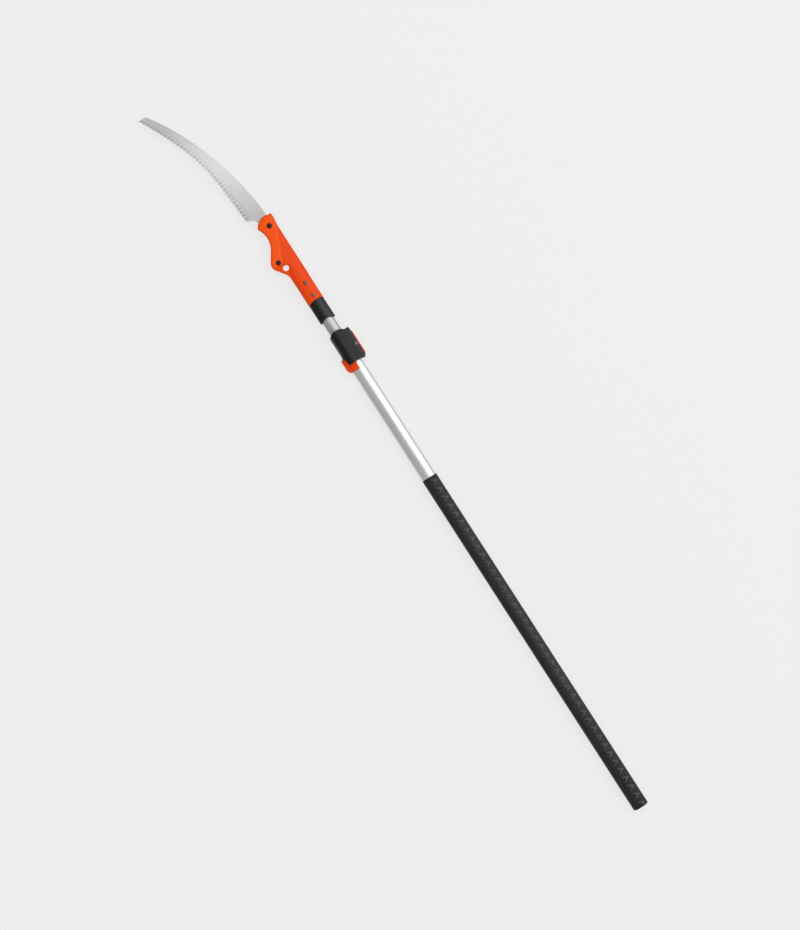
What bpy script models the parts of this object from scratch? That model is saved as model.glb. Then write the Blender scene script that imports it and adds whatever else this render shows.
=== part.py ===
"""Telescoping pole saw.

A curved pruning blade is bolted in a slotted head, the head is riveted on a slim oval pole, and that pole
slides in a wider one that a cam lever clamps. Metres. The origin is the centre of the butt cap's end face,
+X runs along the pole to the blade, +Y is the side that the teeth face, and +Z is square to the blade.
"""

import math

import bmesh
import bpy
from mathutils import Matrix, Vector
from mathutils.geometry import interpolate_bezier

MM = 0.001
FIT = 0.3 * MM  # gap between two pieces that rest on each other
RUN = 0.2 * MM  # radial clearance of a piece that turns

# Oval sections, each as (half width along Y, half height along Z).
OUTER_POLE = (16.7 * MM, 12.2 * MM)
OUTER_WALL = 1.2 * MM
INNER_POLE = (14.0 * MM, 9.6 * MM)
INNER_WALL = 1.1 * MM
SLEEVE_WALL = 0.6 * MM
HEAD_SOCKET = (18.8 * MM, 13.6 * MM)
FERRULE = (18.2 * MM, 13.1 * MM)
COLLAR_WIDE = (19.8 * MM, 15.0 * MM)
COLLAR_SLIM = (16.8 * MM, 14.8 * MM)
OVAL_POWER = 2.3  # 2 is an ellipse, more is fuller at the corners
OVAL_SIDES = 32
ROUND_SIDES = 16  # sides of bolts, rivets and their holes
BARREL_SIDES = 24  # sides of the cam barrel and its dowel
ARCH_SIDES = 64  # sides of the wide arcs at the ferrule's ends

# Stations along the pole, from the butt.
CAP_LENGTH = 5 * MM
GRIP_END = 844.5 * MM
OUTER_END = 1158 * MM
INNER_START = 250 * MM
INNER_END = 1352 * MM
SHOE_TOP = 325 * MM  # 0.8 m below the tails of the collar's rivets, which it stops against
FERRULE_START = 1245 * MM
FERRULE_TOP = 1298.4 * MM
FERRULE_CROWN = 38 * MM  # radius of its upper edge
FERRULE_LEAN = -2.8 * MM  # how far the middle of that edge is off the pole's middle
FERRULE_ARCH = 30 * MM  # radius of its lower edge
HEAD_START = 1293 * MM
HEAD_TOP = 1508 * MM

# Saw head, seen square to the blade.
CHEEK_HALF = 9.5 * MM
UPPER_BOLT = Vector((1485.5, -3.4)) * MM
LOWER_BOLT = Vector((1407.5, 23.2)) * MM
CROWN = Vector((1479.2, -5.2)) * MM
CROWN_RADIUS = 30.1 * MM
BULGE_RADIUS = 17 * MM
WAIST = Vector((1466.0, 66.0)) * MM
WAIST_RADIUS = 51.2 * MM
HANG_HOLE = Vector((1390, 15.3)) * MM
HANG_RADIUS = 6.8 * MM
HEAD_RIVETS = (Vector((1309.2, -2.0)) * MM, Vector((1340.0, -2.0)) * MM)
HEAD_RIVET_RADIUS = 2.2 * MM
HEAD_RIVET_DOME = 4.0 * MM
RIVET_SEAT = 12.9 * MM
SHOE_RIVET = Vector((264, 0)) * MM
SHOE_RIVET_RADIUS = 1.6 * MM
SHOE_RIVET_DOME = 2.7 * MM

# Blade.
BLADE_HALF = 0.75 * MM
TANG_HALF = 8 * MM
TOOTH_LINE = [Vector(p) * MM for p in ((1520, 34.6), (1659.7, 44.4), (1683.9, 39.6), (1826.4, 112.2))]
BACK_LINE = [Vector(p) * MM for p in ((1519, -10.5), (1638.7, -2.2), (1745.6, 36.8), (1827.5, 94.2))]
TOOTH_PITCH = 4.2 * MM
TOOTH_DEPTH = 3.0 * MM

# Clamp.
COLLAR_START = 1140 * MM
COLLAR_STEP = 1158.5 * MM  # where it starts to narrow over the slim pole
COLLAR_WAIST = 1164.5 * MM
COLLAR_END = 1211 * MM
SKIRT_START = 1123 * MM
LUG_TOP = 1157.5 * MM
LUG_EDGE = 25 * MM
LUG_HALF = 8 * MM
EAR_START = 1142.6 * MM
EAR_END = 1203 * MM
EAR_EDGE = -31.8 * MM
EAR_FACE = 5 * MM
CAM_SEAT_EDGE = -17.4 * MM
SPLIT_HALF = 1 * MM
PIVOT_Y = -21.6 * MM
PIVOT_Z = 15.0 * MM
PIVOT_RADIUS = 4 * MM
CAM_RADIUS = 7.4 * MM
CAM_OFFSET = 0.8 * MM
CLAMP_BOLT_X = 1172 * MM
CLAMP_BOLT_RADIUS = 2.5 * MM
COLLAR_RIVETS = (Vector((1128.0, 3.2)) * MM, Vector((1135.5, 3.2)) * MM)
COLLAR_RIVET_HOLE = 1.9 * MM
LEVER_CREST = 21.6 * MM  # height of the lever's crest, as high as its barrel
LEVER_TURN = math.radians(150)

ORANGE = ("orange_plastic", (0.90, 0.10, 0.01), 0.35, 0.0)
BLACK = ("black_plastic", (0.02, 0.02, 0.02), 0.45, 0.0)
RUBBER = ("grip_rubber", (0.015, 0.015, 0.016), 0.60, 0.0)
ALUMINIUM = ("anodised_aluminium", (0.60, 0.61, 0.62), 0.35, 1.0)
STEEL = ("blade_steel", (0.55, 0.56, 0.57), 0.30, 1.0)
ZINC = ("zinc_plated_steel", (0.50, 0.50, 0.50), 0.35, 1.0)
BLACK_OXIDE = ("black_oxide_steel", (0.03, 0.03, 0.03), 0.40, 1.0)


# ---------------------------------------------------------------- outlines


def oval(half, sides=OVAL_SIDES):
    """Points round an oval of these half width and half height."""
    points = []
    for step in range(sides):
        angle = 2 * math.pi * step / sides
        across = math.copysign(abs(math.cos(angle)) ** (2 / OVAL_POWER), math.cos(angle))
        up = math.copysign(abs(math.sin(angle)) ** (2 / OVAL_POWER), math.sin(angle))
        points.append(Vector((half[0] * across, half[1] * up)))
    return points


def grown(half, by):
    """The oval's half sizes with a wall or gap of this thickness added."""
    return (half[0] + by, half[1] + by)


def arc(centre, radius, start, end, steps):
    """Points on an arc from one angle to another, in degrees, both ends included."""
    angles = [math.radians(start + (end - start) * k / steps) for k in range(steps + 1)]
    return [centre + radius * Vector((math.cos(a), math.sin(a))) for a in angles]


def circle(centre, radius, sides=ROUND_SIDES):
    """Points round a circle."""
    return arc(centre, radius, 0, 360 * (sides - 1) / sides, sides - 1)


def rounded(corners, steps=4):
    """Outline through corners given as (x, y, corner radius)."""
    outline = []
    for index, (x, y, radius) in enumerate(corners):
        here = Vector((x, y))
        if radius == 0:
            outline.append(here)
            continue
        back = (Vector(corners[index - 1][:2]) - here).normalized()
        on = (Vector(corners[(index + 1) % len(corners)][:2]) - here).normalized()
        half = back.angle(on) / 2
        centre = here + (back + on).normalized() * radius / math.sin(half)
        first = here + back * radius / math.tan(half) - centre
        last = here + on * radius / math.tan(half) - centre
        start = math.degrees(math.atan2(first.y, first.x))
        turn = math.degrees(math.atan2(last.y, last.x)) - start
        turn = (turn + 180) % 360 - 180
        outline += arc(centre, radius, start, start + turn, steps)
    return outline


def box_outline(low, high, radius=0):
    """A rectangle between two corners, as an outline."""
    return rounded([(low[0], low[1], radius), (high[0], low[1], radius),
                    (high[0], high[1], radius), (low[0], high[1], radius)])


# ---------------------------------------------------------------- solids


def link(obj, cutter=False):
    """Puts an object in the model's collection, or in the cutters' one, out of sight of a render."""
    bpy.data.collections["cutters" if cutter else "telescoping_pole_saw"].objects.link(obj)
    if cutter:
        obj.hide_render = True
        obj.display_type = "WIRE"
    return obj


def mesh_object(name, bm, cutter=False):
    """Turns a bmesh into an object, with its faces pointing out."""
    bmesh.ops.recalc_face_normals(bm, faces=bm.faces)
    mesh = bpy.data.meshes.new(name)
    bm.to_mesh(mesh)
    bm.free()
    return link(bpy.data.objects.new(name, mesh), cutter)


def flat_solid(name, loops, low, high, along="Z", cutter=False):
    """Outlines filled and given a thickness: XY outlines along Z, or YZ outlines along X."""
    curve = bpy.data.curves.new(name, "CURVE")
    curve.dimensions = "2D"
    curve.fill_mode = "BOTH"
    curve.extrude = (high - low) / 2
    for loop in loops:
        spline = curve.splines.new("POLY")
        spline.points.add(len(loop) - 1)
        spline.use_cyclic_u = True
        for point, corner in zip(spline.points, loop):
            point.co = (corner[0], corner[1], 0, 1)
    drawn = link(bpy.data.objects.new(name + "_outline", curve))
    middle = (low + high) / 2
    if along == "X":
        drawn.location = (middle, 0, 0)
        drawn.rotation_euler = (math.pi / 2, 0, math.pi / 2)
    else:
        drawn.location = (0, 0, middle)
    bpy.context.view_layer.update()
    mesh = bpy.data.meshes.new_from_object(drawn.evaluated_get(bpy.context.evaluated_depsgraph_get()))
    mesh.transform(drawn.matrix_world)
    bpy.data.objects.remove(drawn)
    bm = bmesh.new()
    bm.from_mesh(mesh)
    bpy.data.meshes.remove(mesh)
    bmesh.ops.remove_doubles(bm, verts=bm.verts, dist=0.00001)
    return mesh_object(name, bm, cutter)


def oval_solid(name, stations, cutter=False):
    """A solid along X, lofted through ovals given as (x, (half width, half height))."""
    bm = bmesh.new()
    rings = [[bm.verts.new((x, p.x, p.y)) for p in oval(half)] for x, half in stations]
    for lower, upper in zip(rings, rings[1:]):
        for index in range(OVAL_SIDES):
            bm.faces.new((lower[index - 1], lower[index], upper[index], upper[index - 1]))
    bm.faces.new(rings[0])
    bm.faces.new(rings[-1])
    return mesh_object(name, bm, cutter)


def oval_tube(name, start, end, half, wall):
    """An open oval skin along X, given a wall inwards."""
    bm = bmesh.new()
    ring = [bm.verts.new((start, p.x, p.y)) for p in oval(half)]
    edges = [bm.edges.new((a, b)) for a, b in zip(ring, ring[1:] + ring[:1])]
    made = bmesh.ops.extrude_edge_only(bm, edges=edges)["geom"]
    far_ring = [part for part in made if isinstance(part, bmesh.types.BMVert)]
    bmesh.ops.translate(bm, vec=(end - start, 0, 0), verts=far_ring)
    tube = mesh_object(name, bm)
    shell = tube.modifiers.new("wall", "SOLIDIFY")
    shell.thickness = wall
    shell.offset = -1
    return tube


def turned(name, profile, place, cutter=False):
    """A turned piece about Z: profile points (radius, height) run down its outer side."""
    bm = bmesh.new()
    points = [bm.verts.new((radius, 0, height)) for radius, height in profile]
    for first, second in zip(points, points[1:]):
        bm.edges.new((first, second))
    mesh = bpy.data.meshes.new(name)
    bm.to_mesh(mesh)
    bm.free()
    piece = link(bpy.data.objects.new(name, mesh), cutter)
    piece.location = place
    screw = piece.modifiers.new("turn", "SCREW")
    screw.steps = screw.render_steps = ROUND_SIDES
    screw.use_merge_vertices = True
    screw.merge_threshold = 0.00001
    return piece


def cylinder(name, radius, low, high, place, along="Z", sides=ROUND_SIDES, cutter=True):
    """A cylinder along Z or X; place is where its axis crosses the other two directions."""
    turn = Matrix.Rotation(math.pi / 2, 4, "Y") if along == "X" else Matrix.Identity(4)
    middle = (low + high) / 2
    centre = (middle, *place) if along == "X" else (*place, middle)
    bm = bmesh.new()
    bmesh.ops.create_cone(bm, cap_ends=True, segments=sides, radius1=radius, radius2=radius,
                          depth=high - low, matrix=Matrix.Translation(centre) @ turn)
    return mesh_object(name, bm, cutter)


def combine(piece, operation, *tools):
    """Cuts a piece with others, joins them to it or keeps only what it shares with them."""
    for tool in tools:
        step = piece.modifiers.new(tool.name, "BOOLEAN")
        step.operation = operation
        step.object = tool
        step.solver = "EXACT"
    return piece


def bevel(piece, width, segments=2, limit=40):
    """Rounds the edges that turn by more than the limit, in degrees."""
    step = piece.modifiers.new("bevel", "BEVEL")
    step.width = width
    step.segments = segments
    step.limit_method = "ANGLE"
    step.angle_limit = math.radians(limit)
    return piece


def paint(piece, finish):
    """Gives a piece its material and smooth shading, sharp where it turns by 35 degrees."""
    name, colour, roughness, metallic = finish
    look = bpy.data.materials.get(name) or bpy.data.materials.new(name)
    look.use_nodes = True
    shader = look.node_tree.nodes["Principled BSDF"]
    shader.inputs["Base Color"].default_value = (*colour, 1)
    shader.inputs["Roughness"].default_value = roughness
    shader.inputs["Metallic"].default_value = metallic
    piece.data.materials.append(look)
    piece.data.shade_smooth()
    piece.data.set_sharp_from_angle(angle=math.radians(35))
    return piece


# ---------------------------------------------------------------- poles and grip


def make_outer_pole():
    """The wide pole, with two holes for the collar's rivets in its rear face."""
    pole = oval_tube("outer_pole", CAP_LENGTH + FIT, OUTER_END, OUTER_POLE, OUTER_WALL)
    for index, place in enumerate(COLLAR_RIVETS):
        combine(pole, "DIFFERENCE", cylinder(f"pole_rivet_hole_{index}", COLLAR_RIVET_HOLE, -20 * MM, -5 * MM,
                                              place))
    return paint(pole, ALUMINIUM)


def make_grip_sleeve():
    """The thin ribbed sleeve shrunk on the lower half of the wide pole."""
    skin = grown(OUTER_POLE, FIT + SLEEVE_WALL)
    return paint(oval_tube("grip_sleeve", CAP_LENGTH + FIT, GRIP_END, skin, SLEEVE_WALL), RUBBER)


def make_butt_cap():
    """The butt's end cap: a rounded flange with a hollow plug pressed in the pole."""
    rim = grown(OUTER_POLE, FIT + SLEEVE_WALL)
    plug = grown(OUTER_POLE, -OUTER_WALL - FIT)
    cap = oval_solid("butt_cap", [(0, grown(rim, -7.5 * MM)), (0.4 * MM, grown(rim, -4.8 * MM)),
                                  (1.3 * MM, grown(rim, -2.6 * MM)), (2.8 * MM, grown(rim, -0.9 * MM)),
                                  (4.4 * MM, rim), (CAP_LENGTH, rim)])
    stem = oval_solid("cap_plug", [(CAP_LENGTH - 1 * MM, plug), (24 * MM, plug),
                                   (27 * MM, grown(plug, -1 * MM))], True)
    hollow = grown(plug, -2.5 * MM)
    core = oval_solid("cap_hollow", [(CAP_LENGTH, hollow), (40 * MM, hollow)], True)
    combine(cap, "UNION", stem)
    return paint(combine(cap, "DIFFERENCE", core), BLACK)


def make_inner_pole():
    """The slim pole, drilled through for the head's rivets and for the guide shoe's rivet."""
    pole = oval_tube("inner_pole", INNER_START, INNER_END, INNER_POLE, INNER_WALL)
    for index, place in enumerate((*HEAD_RIVETS, SHOE_RIVET)):
        radius = HEAD_RIVET_RADIUS if index < len(HEAD_RIVETS) else SHOE_RIVET_RADIUS
        hole = cylinder(f"inner_hole_{index}", radius + FIT, -20 * MM, 20 * MM, place)
        combine(pole, "DIFFERENCE", hole)
    return paint(pole, ALUMINIUM)


def slim_pole_bore(name, start, end):
    """Cutter for the hole that the slim pole passes through."""
    bore = grown(INNER_POLE, FIT)
    return oval_solid(name, [(start, bore), (end, bore)], True)


def make_guide_shoe():
    """The shoe on the slim pole's lower end: a plug in it and a long sleeve that slides in the wide pole."""
    foot = grown(OUTER_POLE, -OUTER_WALL - FIT)
    plug = grown(INNER_POLE, -INNER_WALL - FIT)
    drilled = grown(plug, -4 * MM)
    shoe = oval_solid("guide_shoe", [(238 * MM, grown(foot, -1 * MM)), (239 * MM, foot), (SHOE_TOP, foot)])
    combine(shoe, "DIFFERENCE", slim_pole_bore("shoe_socket", INNER_START - FIT, SHOE_TOP + 10 * MM))
    stem = oval_solid("shoe_stem", [(INNER_START - 2 * MM, plug), (276 * MM, plug)], True)
    hollow = oval_solid("shoe_hollow", [(230 * MM, drilled), (257 * MM, drilled)], True)
    hole = rivet_tool("shoe_rivet_hole", SHOE_RIVET, SHOE_RIVET_RADIUS, SHOE_RIVET_DOME, INNER_POLE[1])
    combine(shoe, "UNION", stem)
    return paint(combine(shoe, "DIFFERENCE", hollow, hole), BLACK)


def make_mouth_bush():
    """The flanged bush in the wide pole's mouth, which the slim pole slides through."""
    sleeve = grown(OUTER_POLE, -OUTER_WALL - FIT)
    flange = grown(OUTER_POLE, -0.1 * MM)
    bush = oval_solid("mouth_bush", [(1138 * MM, sleeve), (OUTER_END + FIT, sleeve)])
    lip = oval_solid("bush_flange", [(OUTER_END + FIT, flange), (OUTER_END + 2 * MM, flange)], True)
    combine(bush, "UNION", lip)
    return paint(combine(bush, "DIFFERENCE", slim_pole_bore("bush_bore", 1130 * MM, 1170 * MM)), BLACK)


def make_through_rivet(name, place, shank, head, seat, thickness):
    """A solid rivet along Z with a domed head at each end, seated at this distance from the middle."""
    dome = [(head * math.cos(a), thickness * (0.25 + 0.75 * math.sin(a))) for a in
            (math.radians(k) for k in (60, 30, 0))]
    upper = [(0, seat + thickness)] + [(r, seat + h) for r, h in dome] + [(head, seat), (shank, seat)]
    lower = [(r, -h) for r, h in reversed(upper)]
    return paint(turned(name, upper + lower, (place[0], place[1], 0)), ALUMINIUM)


def rivet_tool(name, place, shank, head, floor):
    """Cutter for a through rivet: its hole, and a clear seat for its head at each end."""
    hole, clear = shank + FIT, head + FIT + 0.1 * MM
    profile = [(0, 21 * MM), (clear, 21 * MM), (clear, floor), (hole, floor), (hole, -floor), (clear, -floor),
               (clear, -21 * MM), (0, -21 * MM)]
    return turned(name, profile, (*place, 0), cutter=True)


def make_shoe_rivet():
    """The rivet that holds the guide shoe in the slim pole."""
    seat = INNER_POLE[1] + 0.15 * MM
    return make_through_rivet("shoe_rivet", SHOE_RIVET, SHOE_RIVET_RADIUS, SHOE_RIVET_DOME, seat, 0.8 * MM)


# ---------------------------------------------------------------- saw head


def tang_axis():
    """Unit directions along the tang, from the lower bolt to the upper one, and across it to the teeth."""
    along = (UPPER_BOLT - LOWER_BOLT).normalized()
    return along, Vector((-along.y, along.x))


def head_outline():
    """The head seen square to the blade: crown, waist, bulge at the lower bolt, and straight socket."""
    to_waist = WAIST - LOWER_BOLT
    lean = math.acos((BULGE_RADIUS + WAIST_RADIUS) / to_waist.length)
    meet = math.degrees(math.atan2(to_waist.y, to_waist.x) + lean)  # where a line touches both rounds
    points = arc(CROWN, CROWN_RADIUS, -11.9, 65.3, 10)
    points += arc(WAIST, WAIST_RADIUS, -59.5, meet - 180, 10)
    points += arc(LOWER_BOLT, BULGE_RADIUS, meet, 126.7, 8)
    side, hidden, step = HEAD_SOCKET[0] + 0.2 * MM, 16 * MM, 1358 * MM
    corners = [(points[-1].x, points[-1].y, 0), (1373 * MM, side, 22 * MM), (step, side, 0),
               (step - 4 * MM, hidden, 0), (step - 4 * MM, -hidden, 0), (step, -side, 0),
               (1477 * MM, -side, 25 * MM), (1494 * MM, -21 * MM, 0), (HEAD_TOP, -21.2 * MM, 3 * MM),
               (HEAD_TOP - 1 * MM, -13.5 * MM, 0)]
    return points + rounded(corners)[1:]


def slot_outline():
    """The slot for the tang, open towards the teeth and at the crown."""
    along, across = tang_axis()
    half = TANG_HALF + 0.4 * MM
    floor = math.degrees(math.atan2(-across.y, -across.x))
    outside = LOWER_BOLT - along * half + across * 40 * MM
    return [Vector((1530, -11.2)) * MM, Vector((1492, -13)) * MM, UPPER_BOLT - across * half,
            *arc(LOWER_BOLT, half, floor, floor - 90, 6), outside, outside + along * 130 * MM]


def bolt_tools(name, place):
    """Cutters for a blade bolt: the round seat of its head with its clearance hole, and its nut's hexagon."""
    profile = [(0, 20 * MM), (5.7 * MM, 20 * MM), (5.7 * MM, 3.8 * MM), (3.3 * MM, 3.8 * MM),
               (3.3 * MM, -20 * MM), (0, -20 * MM)]
    pocket = flat_solid(name + "_nut_pocket", [circle(place, 6.2 * MM, 6)], -22 * MM, -4.2 * MM, cutter=True)
    return turned(name + "_bolt_hole", profile, (*place, 0), cutter=True), pocket


def make_saw_head():
    """The moulded head: an oval socket with a shoulder, and two cheeks either side of the tang's slot."""
    head = flat_solid("saw_head", [head_outline()], -CHEEK_HALF, CHEEK_HALF)
    bevel(head, 2 * MM)
    shoulder = (HEAD_SOCKET[0] - 0.3 * MM, CHEEK_HALF - 0.4 * MM)
    tapered = grown(HEAD_SOCKET, -1.2 * MM)
    socket = oval_solid("head_socket", [(HEAD_START - 10 * MM, HEAD_SOCKET), (1366 * MM, HEAD_SOCKET),
                                        (1378 * MM, tapered), (1394 * MM, shoulder)], True)
    bore = slim_pole_bore("head_bore", HEAD_START - 20 * MM, INNER_END + FIT)
    half_slot = BLADE_HALF + 0.25 * MM
    slot = flat_solid("head_slot", [slot_outline()], -half_slot, half_slot, cutter=True)
    skirt = cylinder("head_skirt_arch", FERRULE_CROWN + FIT, -40 * MM, 40 * MM,
                     (FERRULE_TOP - FERRULE_CROWN, FERRULE_LEAN), sides=ARCH_SIDES)
    hole = cylinder("hang_hole", HANG_RADIUS, -20 * MM, 20 * MM, HANG_HOLE, sides=BARREL_SIDES)
    combine(head, "UNION", socket)
    combine(head, "DIFFERENCE", bore, slot, skirt, hole)
    for name, place in (("upper", UPPER_BOLT), ("lower", LOWER_BOLT)):
        combine(head, "DIFFERENCE", *bolt_tools(name, place))
    for index, place in enumerate(HEAD_RIVETS):
        combine(head, "DIFFERENCE", rivet_tool(f"head_rivet_hole_{index + 1}", place, HEAD_RIVET_RADIUS,
                                               HEAD_RIVET_DOME, RIVET_SEAT - FIT))
    return paint(head, ORANGE)


def make_ferrule():
    """The black bumper below the head, with an arched edge at each end."""
    ferrule = oval_solid("ferrule", [(FERRULE_START, grown(FERRULE, -0.8 * MM)),
                                     (FERRULE_START + 1 * MM, FERRULE), (1310 * MM, FERRULE)])
    crown = cylinder("ferrule_crown", FERRULE_CROWN, -40 * MM, 40 * MM,
                     (FERRULE_TOP - FERRULE_CROWN, FERRULE_LEAN), sides=ARCH_SIDES)
    arch = cylinder("ferrule_arch", FERRULE_ARCH, -40 * MM, 40 * MM,
                    (FERRULE_START + 6 * MM - FERRULE_ARCH, 0), sides=ARCH_SIDES)
    combine(ferrule, "INTERSECT", crown)
    bore = slim_pole_bore("ferrule_bore", 1230 * MM, 1320 * MM)
    return paint(combine(ferrule, "DIFFERENCE", arch, bore), BLACK)


def make_head_rivets():
    """Two rivets through the socket and the slim pole."""
    for index, place in enumerate(HEAD_RIVETS):
        make_through_rivet(f"head_rivet_{index + 1}", place, HEAD_RIVET_RADIUS, HEAD_RIVET_DOME, RIVET_SEAT,
                           1.3 * MM)


def make_blade_bolt(name, place):
    """A socket head screw through a cheek, the tang and the other cheek, from above."""
    profile = [(0, 9 * MM), (4.5 * MM, 9 * MM), (5.2 * MM, 8.4 * MM), (5.2 * MM, 4.1 * MM),
               (3 * MM, 4.1 * MM), (3 * MM, -8.6 * MM), (2.5 * MM, -9.1 * MM), (0, -9.1 * MM)]
    bolt = turned(name, profile, (*place, 0))
    key = flat_solid(name + "_key", [circle(place, 2.9 * MM, 6)], 5.8 * MM, 12 * MM, cutter=True)
    return paint(combine(bolt, "DIFFERENCE", key), BLACK_OXIDE)


def make_blade_nut(name, place):
    """A hexagon nut in the rear cheek's pocket."""
    nut = flat_solid(name, [circle(place, 5.75 * MM, 6), circle(place, 3 * MM + FIT)], -9.2 * MM, -4.5 * MM)
    return paint(nut, ZINC)


# ---------------------------------------------------------------- blade


def bezier_points(line, count):
    """Points at even steps of a cubic curve given as start, handle, handle, end."""
    return [Vector(p[:2]) for p in interpolate_bezier(*line, count)]


def tooth_points():
    """The tooth edge: three-sided teeth of even pitch, leaning back towards the head."""
    line = bezier_points(TOOTH_LINE, 400)
    lengths = [0.0]
    for first, second in zip(line, line[1:]):
        lengths.append(lengths[-1] + (second - first).length)
    count = int(lengths[-1] / TOOTH_PITCH)
    pitch = lengths[-1] / count

    def at(distance, out=0.0):
        index = next((i for i, run in enumerate(lengths) if run >= distance), len(line) - 1)
        index = min(index, len(line) - 2)
        tangent = (line[index + 1] - line[index]).normalized()
        point = line[index] + tangent * (distance - lengths[index])
        return point + Vector((-tangent.y, tangent.x)) * out

    points = []
    for tooth in range(count):
        root = tooth * pitch
        points += [at(root, -TOOTH_DEPTH), at(root + 0.35 * pitch)]
    return points + [at(lengths[-1], -TOOTH_DEPTH)]


def blade_outline():
    """Tooth edge, square tip, back edge and the tang down to the lower bolt."""
    along, across = tang_axis()
    tang_end = math.degrees(math.atan2(-across.y, -across.x))
    back = bezier_points(BACK_LINE, 24)[::-1]
    tang = [Vector((1510, -10.6)) * MM, Vector((1494, -12.2)) * MM, UPPER_BOLT - across * TANG_HALF,
            *arc(LOWER_BOLT, TANG_HALF, tang_end, tang_end - 180, 10), UPPER_BOLT + across * TANG_HALF,
            Vector((1503, 13.0)) * MM, Vector((1513.5, 18.0)) * MM, Vector((1518.5, 31)) * MM]
    return tooth_points() + back + tang


def make_blade():
    """The flat blade with its two bolt holes."""
    loops = [blade_outline(), circle(UPPER_BOLT, 3.3 * MM), circle(LOWER_BOLT, 3.3 * MM)]
    return paint(flat_solid("blade", loops, -BLADE_HALF, BLADE_HALF), STEEL)


# ---------------------------------------------------------------- clamp


def make_clamp_collar():
    """The split collar: wide over one pole, slim over the other, with two ears and a thumb lug."""
    collar = oval_solid("clamp_collar", [(COLLAR_START, COLLAR_WIDE), (COLLAR_STEP, COLLAR_WIDE),
                                         (COLLAR_WAIST, COLLAR_SLIM), (COLLAR_END - 2 * MM, COLLAR_SLIM),
                                         (COLLAR_END, grown(COLLAR_SLIM, -1.5 * MM))])
    skirt = oval_solid("collar_skirt", [(SKIRT_START, grown(COLLAR_WIDE, -1.2 * MM)),
                                        (SKIRT_START + 1.5 * MM, COLLAR_WIDE),
                                        (COLLAR_START + 1 * MM, COLLAR_WIDE)], True)
    open_side = box_outline((1110 * MM, -40 * MM), (COLLAR_START - 0.5 * MM, -2 * MM), 4 * MM)
    gap = flat_solid("skirt_gap", [open_side], -20 * MM, 20 * MM, cutter=True)
    lug = flat_solid("thumb_lug", [rounded([(SKIRT_START, 12 * MM, 0), (LUG_TOP, 12 * MM, 0),
                                            (LUG_TOP, LUG_EDGE, 3 * MM), (SKIRT_START, LUG_EDGE, 11 * MM)])],
                     -LUG_HALF, LUG_HALF, cutter=True)
    bevel(lug, 2.5 * MM)
    combine(skirt, "DIFFERENCE", gap)
    combine(collar, "UNION", skirt, lug)
    ear_outline = box_outline((EAR_START, EAR_EDGE), (EAR_END, -8 * MM), 4 * MM)
    for name, low, high in (("front_ear", -SPLIT_HALF, EAR_FACE), ("rear_ear", -EAR_FACE, SPLIT_HALF)):
        combine(collar, "UNION", flat_solid(name, [ear_outline], low, high, cutter=True))
    wide_bore = oval_solid("collar_wide_bore", [(1110 * MM, grown(OUTER_POLE, FIT)),
                                                (OUTER_END + 2.3 * MM, grown(OUTER_POLE, FIT))], True)
    slim_bore = slim_pole_bore("collar_slim_bore", 1150 * MM, 1230 * MM)
    split = flat_solid("collar_split", [box_outline((1120 * MM, -50 * MM), (1230 * MM, -10 * MM))],
                       -SPLIT_HALF, SPLIT_HALF, cutter=True)
    bolt_hole = cylinder("ear_hole", CLAMP_BOLT_RADIUS + 0.4 * MM, -30 * MM, 30 * MM, (CLAMP_BOLT_X, PIVOT_Y))
    seat = flat_solid("cam_seat", [box_outline((1120 * MM, -50 * MM), (1230 * MM, CAM_SEAT_EDGE))], EAR_FACE,
                      30 * MM, cutter=True)
    relief = cylinder("cam_relief", CAM_RADIUS + CAM_OFFSET + 0.5 * MM, 1120 * MM, 1230 * MM,
                      (PIVOT_Y, PIVOT_Z), "X", BARREL_SIDES)
    combine(collar, "DIFFERENCE", wide_bore, slim_bore, split, bolt_hole, seat, relief)
    for index, place in enumerate(COLLAR_RIVETS):
        hole = cylinder(f"collar_rivet_hole_{index}", COLLAR_RIVET_HOLE, -20 * MM, -5 * MM, place)
        seat = cylinder(f"collar_rivet_seat_{index}", 3.2 * MM, -20 * MM, -13.4 * MM, place)
        combine(collar, "DIFFERENCE", hole, seat)
    return paint(collar, ORANGE)


def make_collar_rivets():
    """Two blind rivets through the skirt and the wide pole's wall, heads sunk in the rear face."""
    for index, place in enumerate(COLLAR_RIVETS):
        profile = [(0, -9.8 * MM), (2.3 * MM, -9.8 * MM), (2.3 * MM, -10.3 * MM), (1.6 * MM, -10.3 * MM),
                   (1.6 * MM, -13.7 * MM), (2.9 * MM, -13.7 * MM), (2.4 * MM, -14.5 * MM), (0, -14.8 * MM)]
        paint(turned(f"collar_rivet_{index + 1}", profile, (*place, 0)), ALUMINIUM)


def lever_outline():
    """The lever seen from the front: arched top, rounded corner, and a cut-back corner for the fingers."""
    return rounded([(1139.8 * MM, -18 * MM, 0), (1139.8 * MM, 14.5 * MM, 2 * MM),
                    (1154 * MM, 16.5 * MM, 2 * MM), (1158 * MM, 20.2 * MM, 1 * MM),
                    (1166 * MM, 19.4 * MM, 0), (1212.5 * MM, 19.4 * MM, 8 * MM),
                    (1218.5 * MM, 6 * MM, 12 * MM), (1218.5 * MM, -4 * MM, 12 * MM),
                    (1213 * MM, -18 * MM, 0)])


def lever_bridge():
    """The web that carries the lever's crest across to the cam barrel, falling away gently."""
    top = [(1, 21.6), (-4, 21.45), (-9, 20.95), (-14, 20.2), (-19, 19.3)]
    points = [Vector(p) * MM for p in [*top, (-19, 12), (1, 12)]]
    return flat_solid("lever_bridge", [points], 1130 * MM, 1225 * MM, "X", cutter=True)


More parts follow.
